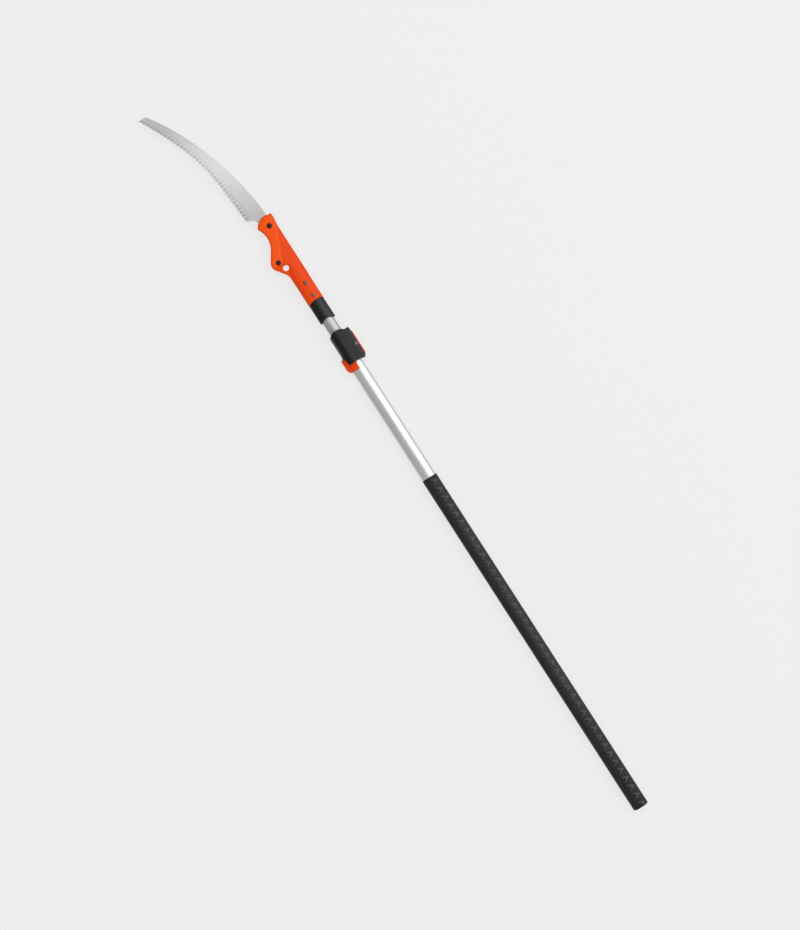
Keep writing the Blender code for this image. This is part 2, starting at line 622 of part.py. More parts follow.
def make_lock_lever():
    """The wrap-round lever: a curved shell over the collar's front, with a cam barrel on the hinge."""
    wide, slim = (22.4 * MM, LEVER_CREST), (19.4 * MM, LEVER_CREST)
    outer = [(1130 * MM, wide), (COLLAR_STEP, wide), (1165 * MM, slim), (1225 * MM, slim)]
    inner = [(1120 * MM, grown(COLLAR_WIDE, FIT)), (COLLAR_STEP, grown(COLLAR_WIDE, FIT)),
             (COLLAR_WAIST, grown(COLLAR_SLIM, FIT)), (1235 * MM, grown(COLLAR_SLIM, FIT))]
    lever = oval_solid("lock_lever", outer)
    front = flat_solid("lever_front", [lever_outline()], 1.5 * MM, 30 * MM, cutter=True)
    heel = flat_solid("lever_heel_gap", [box_outline((-40 * MM, -5 * MM), (-8 * MM, 9.6 * MM))], 1120 * MM,
                      1230 * MM, "X", cutter=True)
    lug_gap = flat_solid("lever_lug_gap", [box_outline((1100 * MM, 8 * MM), (LUG_TOP + 0.5 * MM, 40 * MM))],
                         -1 * MM, LUG_HALF + FIT, cutter=True)
    combine(lever, "UNION", lever_bridge())
    combine(lever, "DIFFERENCE", oval_solid("lever_inside", inner, True), heel, lug_gap)
    combine(lever, "INTERSECT", front)
    barrel = cylinder("cam_barrel", CAM_RADIUS, 1136 * MM, COLLAR_END + 0.5 * MM,
                      (PIVOT_Y, PIVOT_Z - CAM_OFFSET), "X", BARREL_SIDES)
    bevel(barrel, 1.8 * MM)
    combine(lever, "UNION", barrel)
    bore = cylinder("dowel_bore", PIVOT_RADIUS + RUN, 1120 * MM, 1220 * MM,
                    (PIVOT_Y, PIVOT_Z), "X", BARREL_SIDES)
    combine(lever, "DIFFERENCE", bore, lever_slot())
    pivot = Vector((CLAMP_BOLT_X, PIVOT_Y, PIVOT_Z))
    lever.data.transform(Matrix.Translation(-pivot))
    lever.location = pivot
    return paint(lever, BLACK)


def lever_slot():
    """The slot that lets the lever turn past the clamp bolt, from the rear round to the front."""
    half = CLAMP_BOLT_RADIUS + 0.5 * MM
    reach = 12 * MM
    end = -math.pi / 2 - LEVER_TURN - math.radians(4)
    ray = Vector((math.cos(end), math.sin(end)))
    edge = Vector((ray.y, -ray.x)) * half
    centre = Vector((PIVOT_Y, PIVOT_Z))
    points = [centre + Vector((half, 0)), centre + edge, centre + edge + ray * reach,
              centre + Vector((-reach, reach)), centre + Vector((-reach, -reach)),
              centre + Vector((half, -reach))]
    wide = half + 0.5 * MM
    return flat_solid("bolt_slot", [points], CLAMP_BOLT_X - wide, CLAMP_BOLT_X + wide, "X", cutter=True)


def make_pivot_dowel():
    """The steel cross dowel that the lever turns on, drilled across for the clamp bolt."""
    dowel = cylinder("pivot_dowel", PIVOT_RADIUS, 1138 * MM, 1209 * MM, (PIVOT_Y, PIVOT_Z), "X", BARREL_SIDES,
                     cutter=False)
    bevel(dowel, 0.5 * MM, 1)
    hole = cylinder("dowel_hole", CLAMP_BOLT_RADIUS + 0.15 * MM, 0, 30 * MM, (CLAMP_BOLT_X, PIVOT_Y))
    return paint(combine(dowel, "DIFFERENCE", hole), ZINC)


def make_clamp_bolt():
    """The bolt that draws the ears together, with its head at the rear and its end in the dowel."""
    shank = CLAMP_BOLT_RADIUS
    profile = [(0, 18 * MM), (2.1 * MM, 18 * MM), (shank, 17.6 * MM), (shank, -6.6 * MM),
               (4.25 * MM, -6.6 * MM), (4.25 * MM, -11 * MM), (3.7 * MM, -11.6 * MM), (0, -11.6 * MM)]
    bolt = turned("clamp_bolt", profile, (CLAMP_BOLT_X, PIVOT_Y, 0))
    key = flat_solid("clamp_key", [circle(Vector((CLAMP_BOLT_X, PIVOT_Y)), 2.3 * MM, 6)], -14 * MM, -8.8 * MM,
                     cutter=True)
    return paint(combine(bolt, "DIFFERENCE", key), ZINC)


def make_bolt_washer():
    """The washer under the clamp bolt's head."""
    place = Vector((CLAMP_BOLT_X, PIVOT_Y))
    loops = [circle(place, 5.5 * MM), circle(place, CLAMP_BOLT_RADIUS + FIT)]
    return paint(flat_solid("bolt_washer", loops, -6.3 * MM, -EAR_FACE - FIT), ZINC)


def make_cam_plate():
    """The steel strip on the front ear that the cam presses on."""
    outline = box_outline((EAR_START + 3 * MM, -29 * MM), (EAR_END - 3 * MM, CAM_SEAT_EDGE - FIT), 2 * MM)
    hole = circle(Vector((CLAMP_BOLT_X, PIVOT_Y)), CLAMP_BOLT_RADIUS + FIT)
    return paint(flat_solid("cam_plate", [outline, hole], EAR_FACE + FIT, EAR_FACE + 1.4 * MM), ZINC)


# ---------------------------------------------------------------- assembly


def start_clean():
    """Removes the scene's objects and makes the two collections."""
    for obj in list(bpy.data.objects):
        bpy.data.objects.remove(obj)
    for name in ("telescoping_pole_saw", "cutters"):
        bpy.context.scene.collection.children.link(bpy.data.collections.new(name))


def parent_sections():
    """Parents what moves with the slim pole to an empty at its start."""
    slide = link(bpy.data.objects.new("pole_slide", None))
    names = ("inner_pole", "guide_shoe", "shoe_rivet", "ferrule", "saw_head", "blade", "upper_bolt",
             "upper_nut", "lower_bolt", "lower_nut", "head_rivet_1", "head_rivet_2")
    for name in names:
        bpy.data.objects[name].parent = slide


def main():
    start_clean()
    make_outer_pole()
    make_grip_sleeve()
    make_butt_cap()
    make_inner_pole()
    make_guide_shoe()
    make_shoe_rivet()
    make_mouth_bush()
    make_saw_head()
    make_ferrule()
    make_head_rivets()
    make_blade()
    for name, place in (("upper", UPPER_BOLT), ("lower", LOWER_BOLT)):
        make_blade_bolt(name + "_bolt", place)
        make_blade_nut(name + "_nut", place)
    make_clamp_collar()
    make_collar_rivets()
    make_lock_lever()
    make_pivot_dowel()
    make_clamp_bolt()
    make_bolt_washer()
    make_cam_plate()
    parent_sections()


main()
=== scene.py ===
"""Looks for the telescoping pole saw, laid out as an add-on: one operator makes each piece or group of pieces.

Everything is in metres in the part's own frame: +X runs along the poles to the blade, +Y is the side that the
teeth face, and +Z is square to the blade.
"""

import math

import bpy
from bpy.props import FloatProperty, FloatVectorProperty, IntProperty, PointerProperty
from mathutils import Matrix, Vector


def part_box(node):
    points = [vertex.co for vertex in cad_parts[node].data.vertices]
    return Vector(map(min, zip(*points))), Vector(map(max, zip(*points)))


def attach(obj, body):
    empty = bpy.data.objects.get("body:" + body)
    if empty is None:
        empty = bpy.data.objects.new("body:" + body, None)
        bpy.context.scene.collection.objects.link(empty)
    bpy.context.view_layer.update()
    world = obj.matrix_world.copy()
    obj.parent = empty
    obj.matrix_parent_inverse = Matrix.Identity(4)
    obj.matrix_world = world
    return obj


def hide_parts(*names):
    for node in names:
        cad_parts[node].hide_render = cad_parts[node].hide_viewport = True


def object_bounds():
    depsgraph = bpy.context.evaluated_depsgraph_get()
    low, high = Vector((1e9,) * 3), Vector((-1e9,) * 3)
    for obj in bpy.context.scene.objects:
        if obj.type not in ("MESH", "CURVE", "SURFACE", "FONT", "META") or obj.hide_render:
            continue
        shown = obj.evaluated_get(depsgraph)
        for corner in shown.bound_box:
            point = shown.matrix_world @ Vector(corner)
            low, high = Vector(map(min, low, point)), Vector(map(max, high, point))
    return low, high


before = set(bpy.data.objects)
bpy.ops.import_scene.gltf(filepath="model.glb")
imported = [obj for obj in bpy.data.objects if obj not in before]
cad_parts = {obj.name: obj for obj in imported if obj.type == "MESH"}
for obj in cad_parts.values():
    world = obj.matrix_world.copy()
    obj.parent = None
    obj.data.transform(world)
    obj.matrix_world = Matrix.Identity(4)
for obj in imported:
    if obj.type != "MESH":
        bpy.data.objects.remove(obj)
CAD_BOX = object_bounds()

bl_info = {
    "name": "Telescoping Pole Saw",
    "version": (1, 0, 0),
    "blender": (4, 5, 0),
    "location": "View3D > Sidebar > Pole Saw",
    "description": "Builds a detailed telescoping pole saw around its packed parts",
    "category": "Add Mesh",
}

MM = 0.001
FIT = 0.3 * MM
OVAL_POWER = 2.3  # 2 is an ellipse, more is fuller at the corners
ARC_STEP = 6  # degrees of an outline's arc to a side
FAR = 30 * MM  # beyond any piece's front or rear, where tools end

# Half width along Y and half height along Z of each oval.
OUTER_POLE = (16.7 * MM, 12.2 * MM)
OUTER_WALL = 1.2 * MM
INNER_POLE = (14.0 * MM, 9.6 * MM)
INNER_WALL = 1.1 * MM
HEAD_SOCKET = (18.8 * MM, 13.6 * MM)
FERRULE = (18.2 * MM, 13.1 * MM)
COLLAR_WIDE = (19.8 * MM, 15.0 * MM)
COLLAR_SLIM = (16.8 * MM, 14.8 * MM)

# Places along the poles.
GRIP_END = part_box("grip_sleeve")[1].x
OUTER_START, OUTER_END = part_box("outer_pole")[0].x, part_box("outer_pole")[1].x
INNER_START, INNER_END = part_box("inner_pole")[0].x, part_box("inner_pole")[1].x
HEAD_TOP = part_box("saw_head")[1].x

# The head's outline is drawn round these places.
UPPER_BOLT = Vector((1485.5, -3.4, 0)) * MM
LOWER_BOLT = Vector((1407.5, 23.2, 0)) * MM
BOLT_HOLE = 3.3 * MM  # radius
BULGE_RADIUS = 17 * MM
CROWN = Vector((1479.2, -5.2, 0)) * MM
CROWN_RADIUS = 30.1 * MM
WAIST = Vector((1466.0, 66.0, 0)) * MM
WAIST_RADIUS = 51.2 * MM
HANG_HOLE = Vector((1390, 15.3, 0)) * MM
HANG_RADIUS = 6.8 * MM
FERRULE_CROWN = Vector((1260.4, -2.8, 0)) * MM  # middle of the arc that ends the head
FERRULE_CROWN_RADIUS = 38 * MM

TOOTH_LINE = [Vector(p) * MM for p in ((1520, 34.6), (1659.7, 44.4), (1683.9, 39.6), (1826.4, 112.2))]
BACK_LINE = [Vector(p) * MM for p in ((1519, -10.5), (1638.7, -2.2), (1745.6, 36.8), (1827.5, 94.2))]

HEAD_RIVETS = (Vector((1309.2, -2.0, 0)) * MM, Vector((1340.0, -2.0, 0)) * MM)
COLLAR_RIVETS = (Vector((1128.0, 3.2, 0)) * MM, Vector((1135.5, 3.2, 0)) * MM)
PIVOT = Vector((1172, -21.6, 15.0)) * MM
LEVER_CREST = 21.6 * MM


# ---------------------------------------------------------------- selecting and shaping


def at(x, y):
    """A place or a pair of sizes given in millimetres."""
    return (x * MM, y * MM)


def clear_selection():
    """Leaves edit mode and deselects everything."""
    if bpy.context.object and bpy.context.object.mode != "OBJECT":
        bpy.ops.object.mode_set(mode="OBJECT")
    bpy.ops.object.select_all(action="DESELECT")


def settle(name):
    """Names the new primitive and puts its place in its mesh."""
    piece = bpy.context.object
    piece.name = piece.data.name = name
    bpy.ops.object.transform_apply(location=True, rotation=True, scale=True)
    return piece


def only(piece):
    """Makes a piece the one active and selected object."""
    clear_selection()
    piece.select_set(True)
    bpy.context.view_layer.objects.active = piece


def edit(piece):
    """Enters edit mode on a piece with nothing selected."""
    only(piece)
    bpy.ops.object.mode_set(mode="EDIT")
    bpy.ops.mesh.select_mode(type="VERT")
    bpy.ops.mesh.select_all(action="DESELECT")


def done():
    """Goes back to object mode."""
    bpy.ops.object.mode_set(mode="OBJECT")


def apply(piece, kind, **settings):
    """Adds a modifier with these settings and applies it."""
    only(piece)
    step = piece.modifiers.new(kind.lower(), kind)
    for key, value in settings.items():
        setattr(step, key, value)
    bpy.ops.object.modifier_apply(modifier=step.name)
    return piece


def cut(piece, *tools, operation="DIFFERENCE"):
    """Cuts a piece with others, or joins or trims it, and removes them."""
    for tool in tools:
        apply(piece, "BOOLEAN", object=tool, operation=operation, solver="EXACT",
              material_mode="TRANSFER" if tool.data.materials else "INDEX")
        bpy.data.objects.remove(tool)
    return piece


def join(piece, *others):
    """Makes one object of several that don't need a union."""
    only(piece)
    for other in others:
        other.select_set(True)
    bpy.ops.object.join()
    return piece


def round_edges(piece, width, segments=3, limit=30):
    """Rounds the edges that turn by more than the limit, in degrees."""
    return apply(piece, "BEVEL", width=width, segments=segments, limit_method="ANGLE",
                 angle_limit=math.radians(limit), harden_normals=False, miter_outer="MITER_ARC")


def tidy(piece):
    """Merges doubled points and turns the faces outwards."""
    edit(piece)
    bpy.ops.mesh.select_all(action="SELECT")
    bpy.ops.mesh.remove_doubles(threshold=0.002 * MM)
    bpy.ops.mesh.normals_make_consistent(inside=False)
    done()
    return piece


def finish_piece(piece, body, slot, finish_name, *nodes, angle=35):
    """Shades a piece, gives it its finish, and lets it ride on its body in place of its CAD nodes."""
    only(piece)
    bpy.ops.object.shade_smooth_by_angle(angle=math.radians(angle))
    if not piece.data.materials:
        piece.data.materials.append(coat(finish_name))
    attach(piece, body)
    if nodes:
        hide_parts(*nodes)
    return piece


def fuller(piece):
    """Makes each ring of a loft fuller at its corners, without widening it."""
    for vertex in piece.data.vertices:
        angle = math.atan2(vertex.co.z, vertex.co.y)
        ring = math.hypot(vertex.co.y, vertex.co.z)
        across = abs(math.cos(angle)) ** OVAL_POWER + abs(math.sin(angle)) ** OVAL_POWER
        vertex.co.y *= across ** (-1 / OVAL_POWER) if ring else 1
        vertex.co.z *= across ** (-1 / OVAL_POWER) if ring else 1


def grown(half, by):
    """An oval's half sizes with a wall or gap of this thickness added."""
    return (half[0] + by, half[1] + by)


def loft(name, stations, sides=96, ring=False):
    """An oval bar along X through stations (x, half width, half height); a ring returns inside and closes."""
    clear_selection()
    start = stations[0]
    bpy.ops.mesh.primitive_circle_add(vertices=sides, radius=1, fill_type="NOTHING" if ring else "NGON",
                                      location=(start[0], 0, 0), rotation=(0, math.pi / 2, 0))
    bar = settle(name)
    fuller(bar)
    edit(bar)
    bpy.ops.mesh.select_all(action="SELECT")
    bpy.ops.transform.resize(value=(1, start[1], start[2]), center_override=(0, 0, 0))
    for before, here in zip(stations, stations[1:]):
        bpy.ops.mesh.extrude_region_move(TRANSFORM_OT_translate={"value": (here[0] - before[0], 0, 0)})
        bpy.ops.transform.resize(value=(1, here[1] / before[1], here[2] / before[2]), center_override=(0, 0, 0))
    if ring:
        bpy.ops.mesh.select_all(action="DESELECT")
        bpy.ops.mesh.select_non_manifold()
        bpy.ops.mesh.bridge_edge_loops()
    done()
    return tidy(bar)


def tube(name, start, end, half, wall, sides=96, edge=0.3 * MM):
    """An oval tube along X with slightly rounded rims."""
    inside = grown(half, -wall)
    edge = min(edge, wall / 3)
    rim, bore = grown(half, -edge), grown(inside, edge)
    return loft(name, [(start, *rim), (start + edge, *half), (end - edge, *half), (end, *rim), (end, *bore),
                       (end - edge, *inside), (start + edge, *inside), (start, *bore)], sides, ring=True)


def oval_stations(*steps):
    """Stations (x, half sizes) written out for loft."""
    return [(x, *half) for x, half in steps]


def lone_point(name, place):
    """A new piece of one point at this place, in edit mode and selected, to extrude an outline from."""
    clear_selection()
    bpy.ops.mesh.primitive_plane_add(size=1)
    piece = settle(name)
    edit(piece)
    bpy.ops.mesh.select_all(action="SELECT")
    bpy.ops.mesh.merge(type="CENTER")
    bpy.ops.mesh.select_all(action="SELECT")
    bpy.ops.transform.translate(value=place)
    return piece


def extrude_by(x, y, z):
    """Draws the outline on by this step."""
    bpy.ops.mesh.extrude_vertices_move(TRANSFORM_OT_translate={"value": (x, y, z)})


def turned(name, profile, place, sides=48, along="Z"):
    """A turned piece: its profile (radius, height) runs from end to end of its axis, where it closes."""
    piece = lone_point(name, (profile[0][0], 0, profile[0][1]))
    for before, here in zip(profile, profile[1:]):
        extrude_by(here[0] - before[0], 0, here[1] - before[1])
    bpy.ops.mesh.select_all(action="SELECT")
    bpy.ops.mesh.spin(steps=sides, angle=2 * math.pi, center=(0, 0, 0), axis=(0, 0, 1))
    done()
    tidy(piece)
    turn = Matrix.Rotation(math.pi / 2, 4, "Y") if along == "X" else Matrix.Identity(4)
    piece.data.transform(Matrix.Translation(place) @ turn)
    return piece


def drawn(name, start, moves, low, high):
    """A plate along Z: its outline is drawn from a start point by lines (x, y) and arcs (x, y, turn)."""
    piece = lone_point(name, (start[0], start[1], low))
    here = Vector((start[0], start[1]))
    for move in moves:
        if len(move) == 2:
            there = Vector(move)
            extrude_by(there.x - here.x, there.y - here.y, 0)
        else:
            centre, turn = Vector(move[:2]), math.radians(move[2])
            bpy.ops.mesh.spin(steps=max(2, round(abs(move[2]) / ARC_STEP)), angle=-turn,
                              center=(centre.x, centre.y, low), axis=(0, 0, 1))
            there = centre + Matrix.Rotation(turn, 2) @ (here - centre)
        here = there
    bpy.ops.mesh.select_all(action="SELECT")
    bpy.ops.mesh.remove_doubles(threshold=0.01 * MM)
    bpy.ops.mesh.edge_face_add()
    bpy.ops.mesh.extrude_region_move(TRANSFORM_OT_translate={"value": (0, 0, high - low)})
    done()
    return tidy(piece)


def round_tool(name, radius, low, high, place, sides=48, along="Z"):
    """A plain round bar between two heights on its axis, as a drill or a relief."""
    return turned(name, [(0, low), (radius, low), (radius, high), (0, high)], place, sides, along)


# ---------------------------------------------------------------- finishes


def finish(name, colour, roughness, metallic=0.0, specular=0.5, grain=(900, 900, 900), tint=0.08, spread=0.06,
           relief=0.02 * MM, smudge=0.0):
    """A moulded, drawn or plated finish: fine grain in colour, gloss and relief, and wider smudges."""
    look = bpy.data.materials.new(name)
    look.use_nodes = True
    nodes, wires = look.node_tree.nodes, look.node_tree.links
    shader = nodes["Principled BSDF"]
    shader.inputs["Metallic"].default_value = metallic
    shader.inputs["Specular IOR Level"].default_value = specular
    place = nodes.new("ShaderNodeTexCoord").outputs["Object"]
    fine = noise(look, place, grain, 5)
    broad = noise(look, place, (14, 40, 40), 3)
    shade = nodes.new("ShaderNodeMix")
    shade.data_type = "RGBA"
    shade.inputs["A"].default_value = (*(max(0, c * (1 - tint)) for c in colour), 1)
    shade.inputs["B"].default_value = (*(min(1, c * (1 + tint)) for c in colour), 1)
    wires.new(fine, shade.inputs["Factor"])
    wires.new(shade.outputs["Result"], shader.inputs["Base Color"])
    gloss = ranged(look, fine, roughness - spread, roughness + spread)
    if smudge:
        worn = ranged(look, broad, -smudge, smudge)
        total = nodes.new("ShaderNodeMath")
        total.operation = "ADD"
        wires.new(gloss, total.inputs[0])
        wires.new(worn, total.inputs[1])
        gloss = total.outputs["Value"]
    wires.new(gloss, shader.inputs["Roughness"])
    bump = nodes.new("ShaderNodeBump")
    bump.inputs["Strength"].default_value = 0.5
    bump.inputs["Distance"].default_value = relief
    wires.new(fine, bump.inputs["Height"])
    wires.new(bump.outputs["Normal"], shader.inputs["Normal"])
    return look


def noise(look, place, scale, detail):
    """A noise stretched by this scale on the piece's own coordinates."""
    nodes, wires = look.node_tree.nodes, look.node_tree.links
    mapping = nodes.new("ShaderNodeMapping")
    mapping.inputs["Scale"].default_value = scale
    cloud = nodes.new("ShaderNodeTexNoise")
    cloud.inputs["Scale"].default_value = 1.0
    cloud.inputs["Detail"].default_value = detail
    wires.new(place, mapping.inputs["Vector"])
    wires.new(mapping.outputs["Vector"], cloud.inputs["Vector"])
    return cloud.outputs["Fac"]


def ranged(look, value, low, high):
    """A noise value spread between two limits."""
    spread = look.node_tree.nodes.new("ShaderNodeMapRange")
    spread.inputs["From Min"].default_value = 0.3
    spread.inputs["From Max"].default_value = 0.7
    spread.inputs["To Min"].default_value = low
    spread.inputs["To Max"].default_value = high
    look.node_tree.links.new(value, spread.inputs["Value"])
    return spread.outputs["Result"]


def tones():
    """The colours and light set in the panel."""
    return bpy.context.scene.pole_saw_tones


def sizes():
    """The sizes set in the panel."""
    return bpy.context.scene.pole_saw_sizes


def once(name, make):
    """The material of this name, made the first time that it is asked for."""
    return bpy.data.materials.get(name) or make(name)


# Each finish: its tone, its roughness, and its shine, grain and wear.
FINISHES = {
    "drawn_aluminium": ("aluminium", 0.2, dict(
        metallic=0.62, specular=0.3, grain=(7, 1600, 1600), tint=0.03, spread=0.04, relief=0.004 * MM, smudge=0.03)),
    "matt_aluminium": ("slim", 0.27, dict(
        metallic=0.62, specular=0.3, grain=(7, 1600, 1600), tint=0.04, spread=0.04, relief=0.004 * MM, smudge=0.03)),
    "rivet_aluminium": ("rivet", 0.5, dict(
        metallic=1.0, tint=0.12, spread=0.08, relief=0.01 * MM, smudge=0.06)),
    "grip_skin": ("grip", 0.6, dict(
        grain=(1500, 1500, 1500), tint=0.25, spread=0.1, relief=0.05 * MM, smudge=0.05)),
    "grip_ridge": ("grip", 0.4, dict(
        specular=0.6, grain=(1200, 1200, 1200), tint=0.2, spread=0.08, smudge=0.06)),
    "black_moulding": ("black", 0.34, dict(
        specular=0.42, grain=(1100, 1100, 1100), tint=0.2, relief=0.03 * MM, smudge=0.05)),
    # The raised land's finish is the orange moulding in a lighter tone: painted light, for the land standing
    # brighter in the light than the plate round it.
    "orange_land": ("land", 0.28, dict(
        specular=0.14, grain=(1000, 1000, 1000), tint=0.05, spread=0.05, relief=0.025 * MM, smudge=0.05)),
    "orange_moulding": ("orange", 0.3, dict(
        specular=0.14, grain=(1000, 1000, 1000), tint=0.05, spread=0.05, relief=0.025 * MM, smudge=0.05)),
    "zinc_plating": ("zinc", 0.42, dict(
        metallic=1.0, grain=(700, 700, 700), spread=0.08, relief=0.008 * MM, smudge=0.05)),
    "black_oxide": ("oxide", 0.38, dict(
        metallic=1.0, grain=(800, 800, 800), tint=0.2, spread=0.08, relief=0.01 * MM)),
}


def coat(name):
    """The finish of this name, made the first time that it is asked for."""
    if name == "chromed_blade":
        return once(name, blade_finish)
    tone, roughness, wear = FINISHES[name]
    return once(name, lambda name: finish(name, getattr(tones(), tone), roughness, **wear))


def blade_finish(name):
    """Satin hard chrome, ground along the blade, with a painted highlight that makes its colour brightest over its
    middle.
    """
    # Painted highlight: the base colour is scaled up to this much brighter over the middle of the blade, where the
    # light falls.
    painted_highlight = 1.62  # how much brighter the middle is
    look = finish(name, tones().blade, 0.42, metallic=1.0, grain=(120, 1400, 1400), tint=0.05, spread=0.05,
                  relief=0.006 * MM, smudge=0.05)
    nodes, wires = look.node_tree.nodes, look.node_tree.links
    place = nodes.new("ShaderNodeTexCoord").outputs["Object"]
    split = nodes.new("ShaderNodeSeparateXYZ")
    wires.new(place, split.inputs["Vector"])
    down = nodes.new("ShaderNodeMapRange")
    down.inputs["From Min"].default_value, down.inputs["From Max"].default_value = 1.50, 1.83
    wires.new(split.outputs["X"], down.inputs["Value"])
    ramp = nodes.new("ShaderNodeValToRGB")
    ramp.color_ramp.interpolation = "B_SPLINE"
    for index, (spot, level) in enumerate(((0.0, 0.5), (0.14, 0.525), (0.5, 1.0), (0.8, 0.5), (1.0, 0.475))):
        stop = ramp.color_ramp.elements[index] if index < 2 else ramp.color_ramp.elements.new(spot)
        stop.position = spot
        stop.color = (level, level, level, 1)
    wires.new(down.outputs["Result"], ramp.inputs["Fac"])
    highlight_gain = nodes.new("ShaderNodeMapRange")
    highlight_gain.inputs["From Min"].default_value, highlight_gain.inputs["From Max"].default_value = 0.5, 1.0
    highlight_gain.inputs["To Min"].default_value, highlight_gain.inputs["To Max"].default_value = 1.0, painted_highlight
    wires.new(ramp.outputs["Color"], highlight_gain.inputs["Value"])
    shader = nodes["Principled BSDF"]
    shade = shader.inputs["Base Color"].links[0].from_socket
    lift = nodes.new("ShaderNodeVectorMath")
    lift.operation = "SCALE"
    wires.new(shade, lift.inputs[0])
    wires.new(highlight_gain.outputs["Result"], lift.inputs["Scale"])
    wires.new(lift.outputs["Vector"], shader.inputs["Base Color"])
    return look


# ---------------------------------------------------------------- poles, grip and cap


def rivet_drills(places, radius, low, high):
    """Round drills along Z at these places."""
    return [round_tool("drill", radius, low, high, place, 24) for place in places]


def make_poles():
    """The two drawn oval tubes, with their rivet holes."""
    wide = tube("wide_pole", OUTER_START, OUTER_END, OUTER_POLE, OUTER_WALL)
    cut(wide, *rivet_drills(COLLAR_RIVETS, 1.9 * MM, -20 * MM, -5 * MM))
    finish_piece(wide, "outer", "anodised_aluminium", "drawn_aluminium", "outer_pole")
    slim = tube("slim_pole", INNER_START, INNER_END, INNER_POLE, INNER_WALL)
    cut(slim, *rivet_drills(HEAD_RIVETS, 2.5 * MM, -20 * MM, 20 * MM))
    finish_piece(slim, "inner", "anodised_aluminium", "matt_aluminium", "inner_pole")


def on_oval(half, y, height):
    """Where a point over y stands on an oval's upper side, this high above its surface: (y, z)."""
    a, b = half
    z = b * (1 - abs(y / a) ** OVAL_POWER) ** (1 / OVAL_POWER)
    normal = Vector((math.copysign(abs(y / a) ** (OVAL_POWER - 1) / a, y), (z / b) ** (OVAL_POWER - 1) / b))
    return Vector((y, z)) + normal.normalized() * height


def make_ridge(half):
    """One raised chevron on the front of the grip: its point is towards -Y and its legs end level."""
    s = sizes()
    rise, cut_off = s.ridge_rise, s.ridge_point + s.ridge_reach
    bluntness, leg_end, sunk = 0.1, 0.96, 0.3 * MM
    clear_selection()
    bpy.ops.mesh.primitive_grid_add(x_subdivisions=14, y_subdivisions=4, size=2, location=(0, 0, 0))
    ridge = settle("ridge")
    for vertex in ridge.data.vertices:
        leg, side = vertex.co.x * leg_end, (1 - vertex.co.y) / 2
        along = (math.hypot(leg, bluntness) - bluntness) / (math.hypot(1, bluntness) - bluntness)
        outer = s.ridge_point + s.ridge_reach * along
        inner = min(outer + s.ridge_width, cut_off)
        y, z = on_oval(half, inner + (outer - inner) * side, -sunk)
        vertex.co = (leg * rise, y, z)
    apply(ridge, "SOLIDIFY", thickness=s.ridge_height + sunk, offset=1)
    return round_edges(tidy(ridge), 0.35 * MM, 1, 50)


def make_grip():
    """The grip's skin, with a row of chevrons down its front and another down its rear, cut off at the butt."""
    s = sizes()
    half = grown(OUTER_POLE, FIT + 0.5 * MM)
    skin = tube("grip", OUTER_START, GRIP_END, half, 0.5 * MM, 80)
    ridges = make_ridge(half)
    only(ridges)
    bpy.ops.object.duplicate()
    twin = bpy.context.object
    twin.data.transform(Matrix.Translation((s.ridge_pitch / 2, 0, 0)) @ Matrix.Rotation(math.pi, 4, "X"))
    join(ridges, twin)
    ridges.data.transform(Matrix.Translation((s.ridge_first, 0, 0)))
    apply(ridges, "ARRAY", count=s.ridge_count, use_relative_offset=False, use_constant_offset=True,
          constant_offset_displace=(s.ridge_pitch, 0, 0))
    for end, side in ((OUTER_START + 0.4 * MM, -1), (GRIP_END - 2 * MM, 1)):
        edit(ridges)
        bpy.ops.mesh.select_all(action="SELECT")
        bpy.ops.mesh.bisect(plane_co=(end, 0, 0), plane_no=(side, 0, 0), use_fill=True, clear_outer=True)
        done()
    ridges.data.materials.append(coat("grip_skin"))
    ridges.data.materials.append(coat("grip_ridge"))
    for face in ridges.data.polygons:
        face.material_index = 1
    skin.data.materials.append(coat("grip_skin"))
    finish_piece(join(skin, ridges), "outer", "grip_rubber", None, "grip_sleeve", angle=50)


def make_butt_cap():
    """The rounded end cap with its hollow plug."""
    rim, plug = grown(OUTER_POLE, FIT + 0.7 * MM), grown(OUTER_POLE, -OUTER_WALL - FIT)
    length, deep, steps, end = 4.6 * MM, 7.5 * MM, 8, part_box("butt_cap")[1].x
    nose = []
    for step in range(steps + 1):
        angle = math.radians(90 * step / steps)
        nose.append((length * (1 - math.cos(angle)), grown(rim, -deep * (1 - math.sin(angle)))))
    cap = loft("end_cap", oval_stations(*nose, (OUTER_START - 0.5 * MM, rim), (OUTER_START - 0.25 * MM,
               grown(rim, -0.3 * MM)), (OUTER_START - 0.2 * MM, plug), (24 * MM, plug), (end, grown(plug, -1 * MM))))
    hollow = grown(plug, -2.5 * MM)
    cut(cap, loft("hollow", oval_stations((OUTER_START, hollow), (40 * MM, hollow))))
    finish_piece(cap, "outer", "black_plastic", "black_moulding", "butt_cap", angle=30)


# ---------------------------------------------------------------- ferrule and head


def disc_tool(name, radius, place):
    """A wide round tool along Z for the arched edges."""
    clear_selection()
    bpy.ops.mesh.primitive_cylinder_add(vertices=192, radius=radius, depth=0.1, location=place)
    return settle(name)


def slim_bore(start, end):
    """The bore that the slim pole sits in."""
    return loft("slim_bore", oval_stations((start, grown(INNER_POLE, FIT)), (end, grown(INNER_POLE, FIT))))


